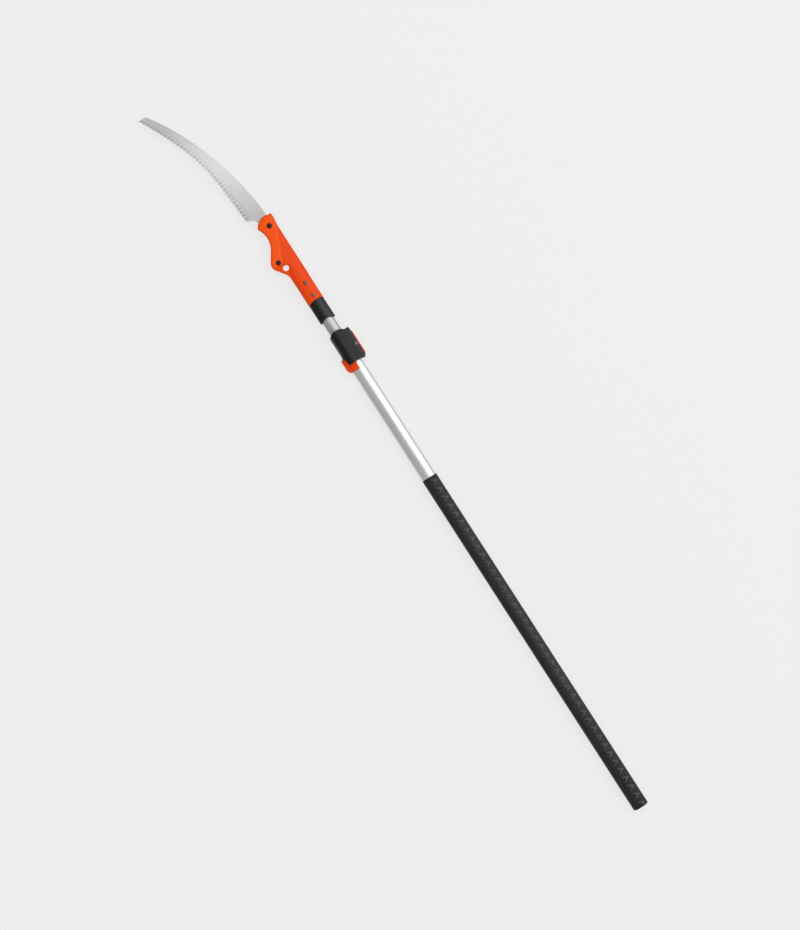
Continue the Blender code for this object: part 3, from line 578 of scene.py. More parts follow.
def make_ferrule():
    """The black bumper below the head, arched at both ends."""
    low, high = (corner.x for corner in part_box("ferrule"))
    ferrule = loft("bumper", oval_stations((low - 1 * MM, FERRULE), (high + 8 * MM, FERRULE)))
    cut(ferrule, disc_tool("crown_edge", FERRULE_CROWN_RADIUS, FERRULE_CROWN), operation="INTERSECT")
    cut(ferrule, disc_tool("arch_edge", 30 * MM, (low - 24 * MM, 0, 0)), slim_bore(low - 9 * MM, high + 9 * MM))
    round_edges(tidy(ferrule), 0.6 * MM, 3, 50)
    finish_piece(ferrule, "inner", "black_plastic", "black_moulding", "ferrule")


def on_circle(centre, radius, angle):
    """The point of a circle at this angle in degrees."""
    turn = math.radians(angle)
    return (centre[0] + radius * math.cos(turn), centre[1] + radius * math.sin(turn))


def head_arcs(inset):
    """The head's outline over the crown, down the waist and round the bulge: its start and its moves."""
    crown, waist, bulge = CROWN_RADIUS - inset, WAIST_RADIUS + inset, BULGE_RADIUS - inset
    apart, back = (WAIST - CROWN).length, WAIST - CROWN
    across = math.degrees(math.atan2(back.y, back.x))  # where the crown's round runs into the waist's
    crown_end = across - math.degrees(math.acos((crown**2 + apart**2 - waist**2) / (2 * crown * apart)))
    waist_start = across - 180 + math.degrees(math.acos((waist**2 + apart**2 - crown**2) / (2 * waist * apart)))
    to_waist = WAIST - LOWER_BOLT
    lean = math.acos((BULGE_RADIUS + WAIST_RADIUS) / to_waist.length)
    meet = math.degrees(math.atan2(to_waist.y, to_waist.x) + lean)  # where a line touches both rounds
    return on_circle(CROWN, crown, -11.9), [
        (*CROWN[:2], crown_end + 11.9), (*WAIST[:2], meet - 180 - waist_start),
        on_circle(LOWER_BOLT, bulge, meet), (*LOWER_BOLT[:2], 126.7 - meet)]


def head_plate():
    """The head's two cheeks in one: crown, waist, bulge, straight sides and a flared foot at the crown."""
    side, deep = 19.0 * MM, 8.0 * MM
    start, moves = head_arcs(0)
    moves += [at(1378.8, 23.25), (1365.8 * MM, 41 * MM, -36.2), (1352 * MM, side), (1352 * MM, -side),
              (1477 * MM, -side), at(1494, -21), at(1506.5, -21.2), at(1508, -19.7),
              at(1507.2, -13.5)]
    plate = round_edges(drawn("head", start, moves, -deep, deep), 2 * MM, 4, 30)
    plate.data.materials.append(coat("orange_moulding"))
    return plate


def head_pad(top):
    """The raised land over the tang: as wide as the crown at one end, a small boss at the lower bolt."""
    start, moves = head_arcs(2.2 * MM)
    boss, far = 8 * MM, Vector((1476, -17.4)) * MM
    foot = Vector(on_circle(LOWER_BOLT, boss, 245))
    moves += [on_circle(LOWER_BOLT, boss, 165), (*LOWER_BOLT[:2], 80), tuple(far),
              at(1493, -18.8), at(1503, -18.8)]
    pad = round_edges(drawn("head_pad", start, moves, -top, top), 3.2 * MM, 5, 30)
    soft, ease, wide, length = 13 * MM, 6 * MM, 70 * MM, 160 * MM  # a bar that eases down on one side
    bar = drawn("slope", (wide, -top), [(wide, top), (ease, top), (ease, top - soft, 46),
                                        on_circle((ease, soft - top), soft, 224), (ease, soft - top, 46)],
                -length / 2, length / 2)
    heading = (far - foot).normalized()
    turn = Matrix(((-heading.y, 0, heading.x), (heading.x, 0, heading.y), (0, 1, 0))).to_4x4()
    middle = (foot + far) / 2
    bar.data.transform(Matrix.Translation((middle.x, middle.y, 0)) @ turn)
    cut(pad, tidy(bar), operation="INTERSECT")
    # The land gets the lighter orange, which is painted light: the same plastic as the plate, painted brighter.
    pad.data.materials.clear()
    pad.data.materials.append(coat("orange_land"))
    return pad


def head_socket():
    """The oval socket, which flattens into the cheeks in an eased shoulder."""
    stations = [(1283 * MM, HEAD_SOCKET), (1360 * MM, HEAD_SOCKET)]
    for step in range(1, 11):
        ease = step / 10
        ease = ease * ease * (3 - 2 * ease)
        stations.append(((1360 + 4.2 * step) * MM, (HEAD_SOCKET[0] - 0.4 * MM * ease,
                                                    HEAD_SOCKET[1] - 6.2 * MM * ease)))
    socket = loft("socket", oval_stations(*stations))
    socket.data.materials.append(coat("orange_moulding"))
    return socket


def slot_tool():
    """The slot between the cheeks for the tang."""
    along = (UPPER_BOLT - LOWER_BOLT).normalized()
    across = Vector((-along.y, along.x, 0))
    half, thick = 8.4 * MM, 1.0 * MM
    floor = LOWER_BOLT - across * half
    upper = UPPER_BOLT - across * half
    outside = LOWER_BOLT - along * half + across * 40 * MM
    moves = [at(1492, -13), upper[:2], floor[:2], (*LOWER_BOLT[:2], -90), outside[:2],
             (outside + along * 130 * MM)[:2]]
    return drawn("slot", at(1530, -11.2), [tuple(m) for m in moves], -thick, thick)


def hexagon(name, place, radius, low, high):
    """A six-sided bar along Z."""
    clear_selection()
    bpy.ops.mesh.primitive_cylinder_add(vertices=6, radius=radius, depth=high - low,
                                        location=(place[0], place[1], (low + high) / 2))
    return settle(name)


def make_head():
    """The moulded head with its slot, seats for the bolts, nuts and rivets, and the hanging hole."""
    cheek = 9.5 * MM
    head = head_plate()
    cut(head, head_pad(cheek), head_socket(), operation="UNION")
    flare, land = HANG_RADIUS + 6 * MM, 5.2 * MM
    chamfer = [(0, -FAR), (flare, -FAR), (flare, -land - 6 * MM), (HANG_RADIUS, -land),
               (HANG_RADIUS, land), (flare, land + 6 * MM), (flare, FAR), (0, FAR)]
    cut(head, slim_bore(1270 * MM, INNER_END + FIT), slot_tool(), turned("hang_hole", chamfer, HANG_HOLE),
        disc_tool("head_arch", FERRULE_CROWN_RADIUS + FIT, FERRULE_CROWN))
    seat = [(0, -FAR), (BOLT_HOLE, -FAR), (BOLT_HOLE, 3.8 * MM), at(5.7, 3.8),
            at(5.7, 9.0), at(6.3, 9.6), (6.3 * MM, FAR), (0, FAR)]
    for bolt in (UPPER_BOLT, LOWER_BOLT):
        cut(head, turned("bolt_seat", seat, bolt), hexagon("nut_seat", bolt, 6.2 * MM, -22 * MM, -4.2 * MM))
    shank, dome, seat_height = 2.5 * MM, 4.4 * MM, 12.6 * MM
    dimple = [(0, -FAR), (dome, -FAR), (dome, -seat_height), (shank, -seat_height),
              (shank, seat_height), (dome, seat_height), (dome, FAR), (0, FAR)]
    cut(head, *[turned("rivet_seat", dimple, rivet, 32) for rivet in HEAD_RIVETS])
    finish_piece(tidy(head), "inner", "orange_plastic", "orange_moulding", "saw_head", angle=28)


def make_rivets():
    """The head's two through rivets and the collar's two blind ones, with domed heads."""
    seat, dome, shank = 12.9 * MM, 4.0 * MM, 2.2 * MM
    crown = [(dome * math.cos(a), seat + 1.3 * MM * (0.2 + 0.8 * math.sin(a)))
             for a in (math.radians(k) for k in range(0, 91, 15))]
    half = [(shank, seat), (dome, seat), *crown[:-1], (0, crown[-1][1])]
    profile = [(r, -z) for r, z in reversed(half)] + half
    for index, place in enumerate(HEAD_RIVETS):
        rivet = turned(f"domed_rivet_{index + 1}", profile, place, 40)
        finish_piece(rivet, "inner", "anodised_aluminium", "rivet_aluminium", f"head_rivet_{index + 1}")
    blind = [at(0, -14.8), at(1.4, -14.75), at(2.4, -14.4), at(2.9, -13.7),
             at(1.6, -13.7), at(1.6, -10.3), at(2.3, -10.3), at(2.2, -9.85),
             at(0, -9.8)]
    for index, place in enumerate(COLLAR_RIVETS):
        rivet = turned(f"blind_rivet_{index + 1}", blind, place, 32)
        finish_piece(rivet, "outer", "anodised_aluminium", "rivet_aluminium", f"collar_rivet_{index + 1}")


# ---------------------------------------------------------------- blade and its fastenings


def bezier(line, t):
    """The point at t on a cubic curve given as start, handle, handle, end."""
    a, b, c, d = line
    return a * (1 - t) ** 3 + 3 * b * t * (1 - t) ** 2 + 3 * c * t * t * (1 - t) + d * t ** 3


def even_steps(line, count):
    """Parameters on a curve that divide it in steps of even length."""
    parts = 600
    fine = [bezier(line, k / parts) for k in range(parts + 1)]
    run = [0.0]
    for first, second in zip(fine, fine[1:]):
        run.append(run[-1] + (second - first).length)
    found, index = [], 0
    for step in range(count + 1):
        goal = run[-1] * step / count
        while index < parts - 1 and run[index + 1] < goal:
            index += 1
        span = run[index + 1] - run[index]
        found.append((index + (goal - run[index]) / span) / parts)
    return found


def blade_columns():
    """Pairs of points (tooth side, back side) from the tang's end to the tip, a root and a tip per tooth."""
    s = sizes()
    along = (UPPER_BOLT - LOWER_BOLT).normalized().to_2d()
    across = Vector((-along.y, along.x))
    upper, lower, half = UPPER_BOLT.to_2d(), LOWER_BOLT.to_2d(), 8 * MM
    columns = []
    for angle in (165, 150, 135, 120, 105, 90):
        turn = math.radians(angle)
        reach, rise = half * math.cos(turn), half * math.sin(turn)
        columns.append((lower + along * reach + across * rise, lower + along * reach - across * rise))
    columns += [(upper + across * half, upper - across * half)]
    columns += [(Vector(top) * MM, Vector(bottom) * MM) for top, bottom in
                (((1503, 13), (1496, -12)), ((1513.5, 18), (1510, -10.6)), ((1518.5, 31), (1517, -10.5)))]
    fine, lead = 20, 7  # a tooth's pitch in steps, and how far on its tip is
    steps = even_steps(TOOTH_LINE, s.teeth * fine)
    back = even_steps(BACK_LINE, s.teeth * fine)
    for tooth in range(s.teeth):
        for place, out in ((tooth * fine, -s.tooth_depth), (tooth * fine + lead, 0.0)):
            t = steps[place]
            tangent = (bezier(TOOTH_LINE, t + 0.001) - bezier(TOOTH_LINE, t - 0.001)).normalized()
            normal = Vector((-tangent.y, tangent.x))
            columns.append((bezier(TOOTH_LINE, t) + normal * out, bezier(BACK_LINE, back[place])))
    columns.append((TOOTH_LINE[3] + Vector((0.8, -1.6)) * MM, BACK_LINE[3]))
    return columns


def make_blade():
    """The curved blade: taper ground, with teeth bevelled to each side in turn, and its tang drilled twice."""
    s = sizes()
    columns = blade_columns()
    first_tooth = len(columns) - 1 - 2 * s.teeth
    rows = (0.0, 0.14, 0.45, 0.8, 1.0)
    clear_selection()
    bpy.ops.mesh.primitive_grid_add(x_subdivisions=len(columns) - 1, y_subdivisions=len(rows) - 1, size=2)
    blade = settle("curved_blade")
    for vertex in blade.data.vertices:
        column = round((vertex.co.x + 1) / 2 * (len(columns) - 1))
        row = round((1 - vertex.co.y) / 2 * (len(rows) - 1))
        top, bottom = columns[column]
        gullet = top
        if column >= first_tooth and row and column % 2 != first_tooth % 2:
            gullet = top + (bottom - top).normalized() * s.tooth_depth
        point = gullet.lerp(bottom, rows[row])
        vertex.co = (point.x, point.y, 0)
    apply(blade, "SOLIDIFY", thickness=2 * s.blade_half, offset=0)
    taper, flat = 0.3, 0.15  # how much the back thins, and where it begins
    set_out, tip_half = 0.72, 0.25  # how far a tooth's tip leans out, and its half thickness
    for vertex in blade.data.vertices:
        spot = Vector(vertex.co[:2])
        if spot.x < HEAD_TOP:
            continue
        near = min(range(first_tooth, len(columns)), key=lambda k: (columns[k][0] - spot).length_squared)
        down = (columns[near][0] - spot).length / (columns[near][0] - columns[near][1]).length
        vertex.co.z *= 1 - taper * min(1, max(0, down - flat))
        if near % 2 != first_tooth % 2 and down < 0.02 and near < len(columns) - 1:
            lean = 1 if (near // 2) % 2 else -1
            vertex.co.z = s.blade_half * (lean * set_out + (tip_half if vertex.co.z > 0 else -tip_half))
    holes = [round_tool("bolt_hole", BOLT_HOLE, -5 * MM, 5 * MM, place) for place in (UPPER_BOLT, LOWER_BOLT)]
    cut(tidy(blade), *holes)
    finish_piece(blade, "inner", "blade_steel", "chromed_blade", "blade", angle=12)


def make_screws():
    """The blade's two socket head screws and their nuts."""
    profile = [at(0, -9.1), at(2.5, -9.1), at(3, -8.6), at(3, 4.1),
               at(5.2, 4.1), at(5.2, 8.1), at(4.95, 8.7), at(4.4, 9), at(0, 9)]
    for name, place in (("upper", UPPER_BOLT), ("lower", LOWER_BOLT)):
        screw = turned(name + "_socket_screw", profile, place, 48)
        cut(screw, hexagon("key", place, 2.9 * MM, 5.8 * MM, 12 * MM))
        finish_piece(screw, "inner", "black_oxide_steel", "black_oxide", name + "_bolt")
        make_nut(name + "_hex_nut", place, name + "_nut")


def make_nut(name, place, node):
    """A hexagon nut with turned-off corners."""
    low, high, flat = -9.2 * MM, -4.5 * MM, 5.75 * MM
    nut = hexagon(name, place, flat, low, high)
    edge = 0.5 * MM
    cone = [(0, low), (flat - 2 * edge, low), (flat + 0.1 * MM, low + edge), (flat + 0.1 * MM, high - edge),
            (flat - 2 * edge, high), (0, high)]
    cut(nut, turned("corners", cone, Vector((place[0], place[1], 0))), operation="INTERSECT")
    cut(nut, round_tool("thread_hole", BOLT_HOLE, -FAR, 0, place, 32))
    finish_piece(tidy(nut), "inner", "zinc_plated_steel", "zinc_plating", node, angle=25)


# ---------------------------------------------------------------- clamp


def box_tool(name, low, high):
    """A square block between two corners, as a tool."""
    low, high = Vector(low), Vector(high)
    clear_selection()
    bpy.ops.mesh.primitive_cube_add(size=1, location=(low + high) / 2, scale=high - low)
    return settle(name)


def make_collar():
    """The split collar with its skirt, thumb lug and two ears."""
    mm = MM
    collar = loft("split_collar", oval_stations(
        (1140 * mm, COLLAR_WIDE), (1158.5 * mm, COLLAR_WIDE), (1161.5 * mm, at(18.3, 14.9)),
        (1164.5 * mm, COLLAR_SLIM), (1209 * mm, COLLAR_SLIM), (1210.4 * mm, grown(COLLAR_SLIM, -0.5 * mm)),
        (1211 * mm, grown(COLLAR_SLIM, -1.5 * mm))))
    skirt = loft("skirt", oval_stations((1123 * mm, grown(COLLAR_WIDE, -1.2 * mm)),
                                        (1124 * mm, grown(COLLAR_WIDE, -0.3 * mm)), (1125 * mm, COLLAR_WIDE),
                                        (1141 * mm, COLLAR_WIDE)))
    gap = drawn("gap", at(1110, -40), [at(1139.5, -40), at(1139.5, -6),
                                               (1135.5 * mm, -6 * mm, 90), at(1110, -2)],
                -20 * mm, 20 * mm)
    cut(skirt, gap)
    lug = drawn("lug", at(1123, 12), [at(1157.5, 12), at(1157.5, 22),
                                              (1154.5 * mm, 22 * mm, 90), at(1134, 25),
                                              (1134 * mm, 14 * mm, 90)], -8 * mm, 8 * mm)
    round_edges(lug, 2.5 * mm, 4)
    ears = []
    for name, low, high in (("front_ear", -1 * mm, 5 * mm), ("rear_ear", -5 * mm, 1 * mm)):
        ear = drawn(name, at(1142.6, -8), [
            at(1142.6, -26.4), (1147.4 * mm, -26.4 * mm, 90), at(1198.2, -31.2),
            (1198.2 * mm, -26.4 * mm, 90), at(1203, -8)], low, high)
        ears.append(round_edges(ear, 1.5 * mm, 3, 60))
    cut(collar, skirt, lug, *ears, operation="UNION")
    wide = grown(OUTER_POLE, FIT)
    bore = loft("wide_bore", oval_stations((1110 * mm, wide), (OUTER_END + 2.3 * mm, wide)))
    split = box_tool("split", (1120 * mm, -50 * mm, -1 * mm), (1230 * mm, -10 * mm, 1 * mm))
    seat = box_tool("seat", (1120 * mm, -50 * mm, 5 * mm), (1230 * mm, -17.4 * mm, 30 * mm))
    drill = round_tool("drill", 2.9 * mm, -FAR, FAR, Vector((PIVOT.x, PIVOT.y, 0)), 32)
    relief = round_tool("relief", 8.7 * mm, -55 * mm, 55 * mm, PIVOT, 64, "X")
    cut(collar, bore, slim_bore(1150 * mm, 1230 * mm), split, seat, drill, relief)
    sunk = [at(0, -30), at(3.2, -30), at(3.2, -13.4), at(1.9, -13.4),
            at(1.9, -5), at(0, -5)]
    cut(collar, *[turned("sunk", sunk, place, 32) for place in COLLAR_RIVETS])
    finish_piece(tidy(collar), "outer", "orange_plastic", "orange_moulding", "clamp_collar", angle=28)


def along_x(piece):
    """Turns a plate drawn over (Y, Z) so that it runs along X."""
    piece.data.transform(Matrix(((0, 0, 1), (1, 0, 0), (0, 1, 0))).to_4x4())
    return piece


def lever_front():
    """The lever's outline from the front: square to the barrel, a round shoulder and an arched top."""
    mm = MM
    arch, arch_radius, shoulder = at(1192.3, -0.5), 26 * mm, 4 * mm
    side = 19.4 * mm - shoulder
    lean = math.asin((side - arch[1]) / (arch_radius - shoulder))
    middle = arch[0] + (arch_radius - shoulder) * math.cos(lean)
    edge = PIVOT.y
    end = math.asin((edge - arch[1]) / arch_radius)
    return drawn("front", (1139.8 * mm, edge), [
        at(1139.8, 12.5), (1141.8 * mm, 12.5 * mm, -90), at(1153, 15.6), at(1158, 20.2),
        at(1166, 19.4), (middle, side + shoulder), (middle, side, math.degrees(lean) - 90),
        (*arch, math.degrees(end - lean))], 1.5 * mm, 30 * mm)


def make_lever():
    """The wrap-round lever, whose crest runs across to its cam barrel, slotted for the clamp bolt."""
    mm = MM
    wide, slim = (22.4 * mm, LEVER_CREST), (19.4 * mm, LEVER_CREST)
    lever = loft("wrap_lever", oval_stations((1130 * mm, wide), (1157 * mm, wide),
                                             (1161.5 * mm, (20.8 * mm, LEVER_CREST)), (1166 * mm, slim),
                                             (1225 * mm, slim)))
    fall, land = 425 * mm, PIVOT.y - 0.4 * mm  # radius of the web's top, and how far it reaches
    web = along_x(drawn("web", (1 * mm, LEVER_CREST), [
        (1 * mm, LEVER_CREST - fall, 3.1), (land, 14 * mm), at(1, 14)], 1130 * mm, 1225 * mm))
    cut(lever, web, operation="UNION")
    inside = loft("inside", oval_stations(
        (1120 * mm, grown(COLLAR_WIDE, FIT)), (1158.5 * mm, grown(COLLAR_WIDE, FIT)),
        (1164.5 * mm, grown(COLLAR_SLIM, FIT)), (1235 * mm, grown(COLLAR_SLIM, FIT))))
    heel = box_tool("heel", (1120 * mm, -40 * mm, -5 * mm), (1230 * mm, -8 * mm, 9.6 * mm))
    lug_gap = box_tool("lug_gap", (1100 * mm, 8 * mm, -1 * mm), (1158 * mm, 40 * mm, 8.3 * mm))
    cut(lever, inside, heel, lug_gap)
    cut(lever, lever_front(), operation="INTERSECT")
    round_edges(tidy(lever), 1.1 * mm, 3, 50)
    barrel = turned("barrel", [at(0, 1136), at(2.6, 1136.6), at(4.6, 1138.3),
                               at(6.0, 1141.2), at(6.8, 1145.4), at(7.1, 1150),
                               at(7.1, 1208), at(6.7, 1209.8), at(5.6, 1211),
                               at(4.2, 1211.5), at(0, 1211.5)],
                    Vector((0, PIVOT.y - 0.3 * mm, PIVOT.z - 1.1 * mm)), 64, "X")
    cut(lever, barrel, operation="UNION")
    bore = round_tool("bore", 4.2 * mm, -60 * mm, 60 * mm, PIVOT, 64, "X")
    cut(lever, bore, lever_slot())
    finish_piece(tidy(lever), "lever", "black_plastic", "black_moulding", "lock_lever", angle=28)


def lever_slot():
    """The sector of slot that passes the clamp bolt as the lever turns."""
    half, reach, wide = 3 * MM, 12 * MM, 3.5 * MM
    end = -math.pi / 2 - math.radians(154)
    ray = Vector((math.cos(end), math.sin(end)))
    edge = Vector((ray.y, -ray.x)) * half
    points = [edge, edge + ray * reach, Vector((-reach, reach)), Vector((-reach, -reach)),
              Vector((half, -reach))]
    slot = along_x(drawn("slot", (half, 0), [tuple(p) for p in points], -wide, wide))
    slot.data.transform(Matrix.Translation(PIVOT))
    return slot


def make_fittings():
    """Cross dowel, clamp bolt, washer and cam plate."""
    mm = MM
    centre = Vector((PIVOT.x, PIVOT.y, 0))
    start, end = (corner.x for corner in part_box("pivot_dowel"))
    dowel = turned("cross_dowel", [(0, start), (3.5 * mm, start), (4 * mm, start + 0.5 * mm),
                                   (4 * mm, end - 0.5 * mm), (3.5 * mm, end), (0, end)],
                   Vector((0, PIVOT.y, PIVOT.z)), 48, "X")
    cut(dowel, round_tool("drill", 2.65 * mm, 0, FAR, centre, 32))
    finish_piece(dowel, "outer", "zinc_plated_steel", "zinc_plating", "pivot_dowel")
    bolt = turned("cap_bolt", [at(0, -11.6), at(3.6, -11.6), at(4.1, -11.2),
                               at(4.25, -10.8), at(4.25, -6.6), at(2.5, -6.6),
                               at(2.5, 17.6), at(2.1, 18), at(0, 18)], centre, 48)
    cut(bolt, hexagon("key", centre, 2.3 * mm, -14 * mm, -8.8 * mm))
    finish_piece(bolt, "outer", "zinc_plated_steel", "zinc_plating", "clamp_bolt")
    washer = turned("flat_washer", [at(2.8, -6.3), at(5.3, -6.3), at(5.5, -6.1),
                                    at(5.5, -5.5), at(5.3, -5.3), at(2.8, -5.3),
                                    at(2.8, -6.3)], centre, 48)
    finish_piece(washer, "outer", "zinc_plated_steel", "zinc_plating", "bolt_washer")
    low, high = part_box("cam_plate")
    strip = drawn("cam_strip", (low.x, low.y + 2 * mm), [
        (low.x + 2 * mm, low.y + 2 * mm, 90), (high.x - 2 * mm, low.y), (high.x - 2 * mm, low.y + 2 * mm, 90),
        (high.x, high.y - 2 * mm), (high.x - 2 * mm, high.y - 2 * mm, 90), (low.x + 2 * mm, high.y),
        (low.x + 2 * mm, high.y - 2 * mm, 90)], low.z, high.z)
    cut(strip, round_tool("drill", 2.8 * mm, -FAR, FAR, centre, 32))
    round_edges(strip, 0.2 * mm, 1, 60)
    finish_piece(strip, "outer", "zinc_plated_steel", "zinc_plating", "cam_plate")


def finish_inside():
    """The pieces inside the poles keep their shape and get their finish."""
    for node, name in (("guide_shoe", "black_moulding"), ("mouth_bush", "black_moulding"),
                       ("shoe_rivet", "rivet_aluminium")):
        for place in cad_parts[node].material_slots:
            place.material = coat(name)


# ---------------------------------------------------------------- stage


def floor_finish(name):
    """Pale matte paper that also glows a little, as a lit sweep does."""
    s = tones()
    look = finish(name, s.floor, 0.8, specular=0.2, grain=(60, 60, 60), tint=0.01, spread=0.03,
                  relief=0.02 * MM)
    shader = look.node_tree.nodes["Principled BSDF"]
    shader.inputs["Emission Color"].default_value = (1, 1, 1, 1)
    shader.inputs["Emission Strength"].default_value = s.floor_glow
    return look


def make_stage():
    """Floor, even grey surroundings, a long soft light over each side, and the camera above."""
    s = tones()
    low, high = CAD_BOX
    clear_selection()
    bpy.ops.mesh.primitive_plane_add(size=80, location=(0.9, 0, low.z - 0.0002))
    floor = settle("floor")
    floor.data.materials.append(once("floor_paper", floor_finish))
    world = bpy.data.worlds.new("surroundings")
    world.use_nodes = True
    world.node_tree.nodes["Background"].inputs["Color"].default_value = (1, 1, 1, 1)
    world.node_tree.nodes["Background"].inputs["Strength"].default_value = s.surroundings
    bpy.context.scene.world = world
    soft_light("long_softbox", -1, s.panel_light)
    fill = soft_light("fill_softbox", 1, s.fill_light)
    fill.visible_glossy = False
    bpy.context.scene.view_settings.view_transform = "Standard"
    make_camera()


def soft_light(name, side, level):
    """A long soft panel over one side of the saw, which lights it evenly from end to end."""
    tilt, away, wide, length = math.radians(37), 6.0, 8.4, 14.0
    bpy.ops.object.light_add(type="AREA", rotation=(-side * tilt, 0, 0),
                             location=(0.9, side * away * math.sin(tilt), away * math.cos(tilt)))
    panel = bpy.context.object
    panel.name = name
    panel.data.shape = "RECTANGLE"
    panel.data.size, panel.data.size_y = length, wide
    panel.data.energy = level * math.pi * wide * length
    panel.visible_camera = False
    return panel


def make_camera():
    """A long lens straight above, turned so that the saw lies across the picture from corner to corner."""
    right, up, back = Vector((-0.5412, -0.8409, 0)), Vector((0.8409, -0.5412, 0)), Vector((0, 0, 1))
    bpy.ops.object.camera_add(location=(0.90085, 0.0386, 6.0))
    camera = bpy.context.object
    camera.name = "camera"
    camera.matrix_world = Matrix.Translation(camera.location) @ Matrix((right, up, back)).transposed().to_4x4()
    camera.data.lens = 107.84
    camera.data.clip_start, camera.data.clip_end = 0.05, 200
    bpy.context.scene.camera = camera


# ---------------------------------------------------------------- add-on


def length(name, description, default):
    """A length property."""
    return FloatProperty(name=name, description=description, default=default, unit="LENGTH")


def level(name, description, default):
    """A brightness property."""
    return FloatProperty(name=name, description=description, default=default, min=0)


def colour(name, description, default):
    """A colour property."""
    return FloatVectorProperty(name=name, description=description, default=default, subtype="COLOR", size=3,
                               min=0, max=1)


class PoleSawSizes(bpy.types.PropertyGroup):
    """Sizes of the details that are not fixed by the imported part."""
    ridge_pitch: length("Ridge Pitch", "Distance between the grip's chevrons", 0.0211)
    ridge_first: length("First Ridge", "Place of the first chevron's point", 0.0086)
    ridge_count: IntProperty(name="Ridges", description="Number of chevrons down the grip", default=40)
    ridge_width: length("Ridge Width", "Width of a chevron's legs across the grip", 0.0088)
    ridge_height: length("Ridge Height", "Height of the chevrons above the grip", 0.0007)
    ridge_rise: length("Ridge Rise", "How far each leg runs along the grip", 0.0088)
    ridge_reach: length("Ridge Reach", "How far each leg runs round the grip", 0.0162)
    ridge_point: length("Ridge Point", "Where the chevrons' points lie across", -0.0142)
    teeth: IntProperty(name="Teeth", description="Number of saw teeth", default=74, min=10)
    tooth_depth: length("Tooth Depth", "Depth of the gullets", 0.003)
    blade_half: length("Blade Half Thickness", "Half of the blade's thickness", 0.00075)


class PoleSawTones(bpy.types.PropertyGroup):
    """Colours and light."""
    orange: colour("Orange", "Colour of the head and the collar", (0.66, 0.05, 0.001))
    # The raised land's colour is the head's orange painted lighter, as painted light on the land.
    land: colour("Raised Land", "Colour of the head's raised land", (0.72, 0.072, 0.0015))
    black: colour("Black", "Colour of the black moulded parts", (0.002, 0.002, 0.0021))
    grip: colour("Grip", "Colour of the grip", (0.004, 0.004, 0.0042))
    aluminium: colour("Aluminium", "Colour of the wide pole", (0.6, 0.6, 0.605))
    slim: colour("Slim Pole", "Colour of the slim pole", (0.4, 0.4, 0.405))
    rivet: colour("Rivets", "Colour of the rivets", (0.16, 0.14, 0.12))
    # The blade is painted brighter than this over its middle, as a painted highlight.
    blade: colour("Blade", "Colour of the blade at its ends", (0.48, 0.475, 0.47))
    zinc: colour("Zinc", "Colour of the plated parts", (0.17, 0.17, 0.175))
    oxide: colour("Oxide", "Colour of the blackened screws", (0.03, 0.032, 0.034))
    floor: colour("Floor", "Colour of the floor", (0.1, 0.1, 0.1))
    floor_glow: level("Floor Glow", "Brightness that the floor has of its own", 0.73)
    surroundings: level("Surroundings", "Brightness of the surroundings", 0.32)
    panel_light: level("Panel Light", "Brightness of the long soft light", 1.7)
    fill_light: level("Fill Light", "Brightness of the soft fill light", 0.6)


class POLE_SAW_OT_poles(bpy.types.Operator):
    """Makes the wide pole and the slim pole."""
    bl_idname = "pole_saw.poles"
    bl_label = "Poles"

    def execute(self, context):
        make_poles()
        return {"FINISHED"}


class POLE_SAW_OT_grip(bpy.types.Operator):
    """Makes the chevron grip on the wide pole."""
    bl_idname = "pole_saw.grip"
    bl_label = "Grip"

    def execute(self, context):
        make_grip()
        return {"FINISHED"}


class POLE_SAW_OT_butt_cap(bpy.types.Operator):
    """Makes the rounded end cap."""
    bl_idname = "pole_saw.butt_cap"
    bl_label = "Butt Cap"

    def execute(self, context):
        make_butt_cap()
        return {"FINISHED"}


class POLE_SAW_OT_ferrule(bpy.types.Operator):
    """Makes the black bumper below the head."""
    bl_idname = "pole_saw.ferrule"
    bl_label = "Ferrule"

    def execute(self, context):
        make_ferrule()
        return {"FINISHED"}


class POLE_SAW_OT_head(bpy.types.Operator):
    """Makes the slotted head."""
    bl_idname = "pole_saw.head"
    bl_label = "Head"

    def execute(self, context):
        make_head()
        return {"FINISHED"}


class POLE_SAW_OT_rivets(bpy.types.Operator):
    """Makes the head's and the collar's rivets."""
    bl_idname = "pole_saw.rivets"
    bl_label = "Rivets"

    def execute(self, context):
        make_rivets()
        return {"FINISHED"}


class POLE_SAW_OT_blade(bpy.types.Operator):
    """Makes the toothed blade."""
    bl_idname = "pole_saw.blade"
    bl_label = "Blade"

    def execute(self, context):
        make_blade()
        return {"FINISHED"}


class POLE_SAW_OT_screws(bpy.types.Operator):
    """Makes the blade's screws and nuts."""
    bl_idname = "pole_saw.screws"
    bl_label = "Screws"

    def execute(self, context):
        make_screws()
        return {"FINISHED"}


class POLE_SAW_OT_collar(bpy.types.Operator):
    """Makes the split clamp collar."""
    bl_idname = "pole_saw.collar"
    bl_label = "Collar"

    def execute(self, context):
        make_collar()
        return {"FINISHED"}


class POLE_SAW_OT_lever(bpy.types.Operator):
    """Makes the wrap-round cam lever."""
    bl_idname = "pole_saw.lever"
    bl_label = "Lever"

    def execute(self, context):
        make_lever()
        return {"FINISHED"}


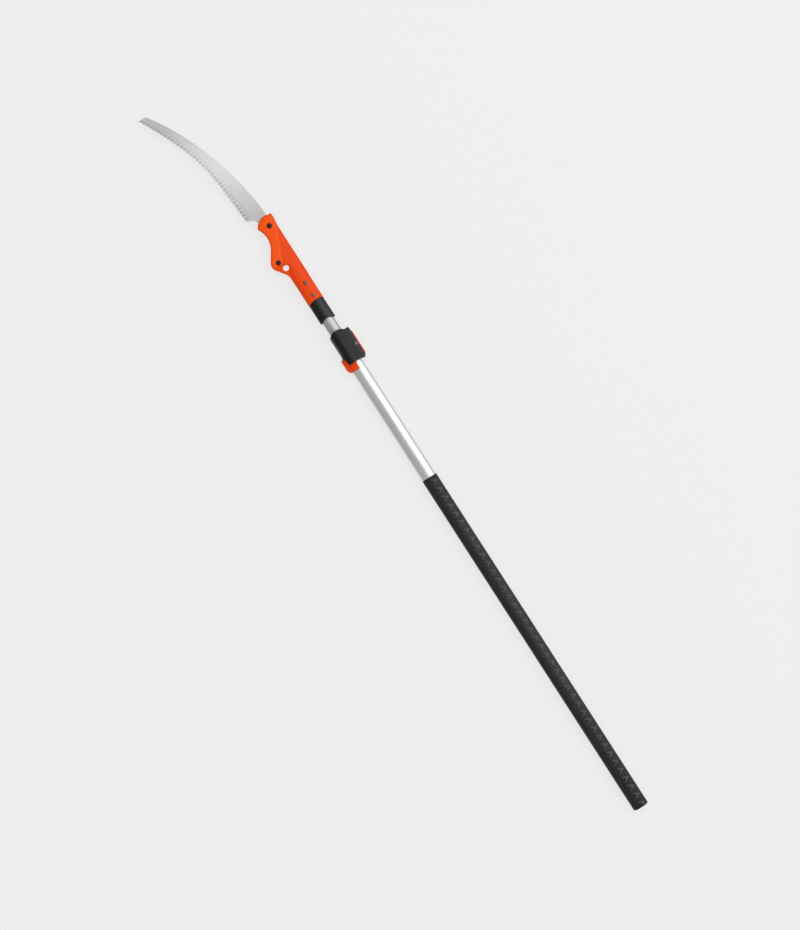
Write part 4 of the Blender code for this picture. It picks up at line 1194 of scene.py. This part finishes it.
class POLE_SAW_OT_fittings(bpy.types.Operator):
    """Makes the dowel, bolt, washer and plate."""
    bl_idname = "pole_saw.fittings"
    bl_label = "Clamp Fittings"

    def execute(self, context):
        make_fittings()
        return {"FINISHED"}


class POLE_SAW_OT_inside(bpy.types.Operator):
    """Finishes the pieces inside the poles."""
    bl_idname = "pole_saw.inside"
    bl_label = "Inside Pieces"

    def execute(self, context):
        finish_inside()
        return {"FINISHED"}


class POLE_SAW_OT_stage(bpy.types.Operator):
    """Makes the floor, the lights and the camera."""
    bl_idname = "pole_saw.stage"
    bl_label = "Stage"

    def execute(self, context):
        make_stage()
        return {"FINISHED"}


OPERATORS = (
    POLE_SAW_OT_poles, POLE_SAW_OT_grip, POLE_SAW_OT_butt_cap, POLE_SAW_OT_ferrule,
    POLE_SAW_OT_head, POLE_SAW_OT_rivets, POLE_SAW_OT_blade, POLE_SAW_OT_screws,
    POLE_SAW_OT_collar, POLE_SAW_OT_lever, POLE_SAW_OT_fittings, POLE_SAW_OT_inside, POLE_SAW_OT_stage,
)


class POLE_SAW_PT_panel(bpy.types.Panel):
    """Sizes, colours and makers of the pole saw."""
    bl_label = "Pole Saw"
    bl_space_type = "VIEW_3D"
    bl_region_type = "UI"
    bl_category = "Pole Saw"

    def draw(self, context):
        for group in (sizes(), tones()):
            for key in group.bl_rna.properties.keys()[2:]:
                self.layout.prop(group, key)
        for maker in OPERATORS:
            self.layout.operator(maker.bl_idname)


CLASSES = (PoleSawSizes, PoleSawTones, *OPERATORS, POLE_SAW_PT_panel)


def register():
    """Adds the classes and the scene's settings."""
    for item in CLASSES:
        bpy.utils.register_class(item)
    bpy.types.Scene.pole_saw_sizes = PointerProperty(type=PoleSawSizes)
    bpy.types.Scene.pole_saw_tones = PointerProperty(type=PoleSawTones)


def unregister():
    """Takes the classes and the scene's settings away."""
    del bpy.types.Scene.pole_saw_sizes
    del bpy.types.Scene.pole_saw_tones
    for item in reversed(CLASSES):
        bpy.utils.unregister_class(item)


def main():
    """Makes every piece in turn."""
    register()
    for maker in OPERATORS:
        getattr(bpy.ops.pole_saw, maker.bl_idname.split(".")[1])()


if __name__ == "__main__":
    main()
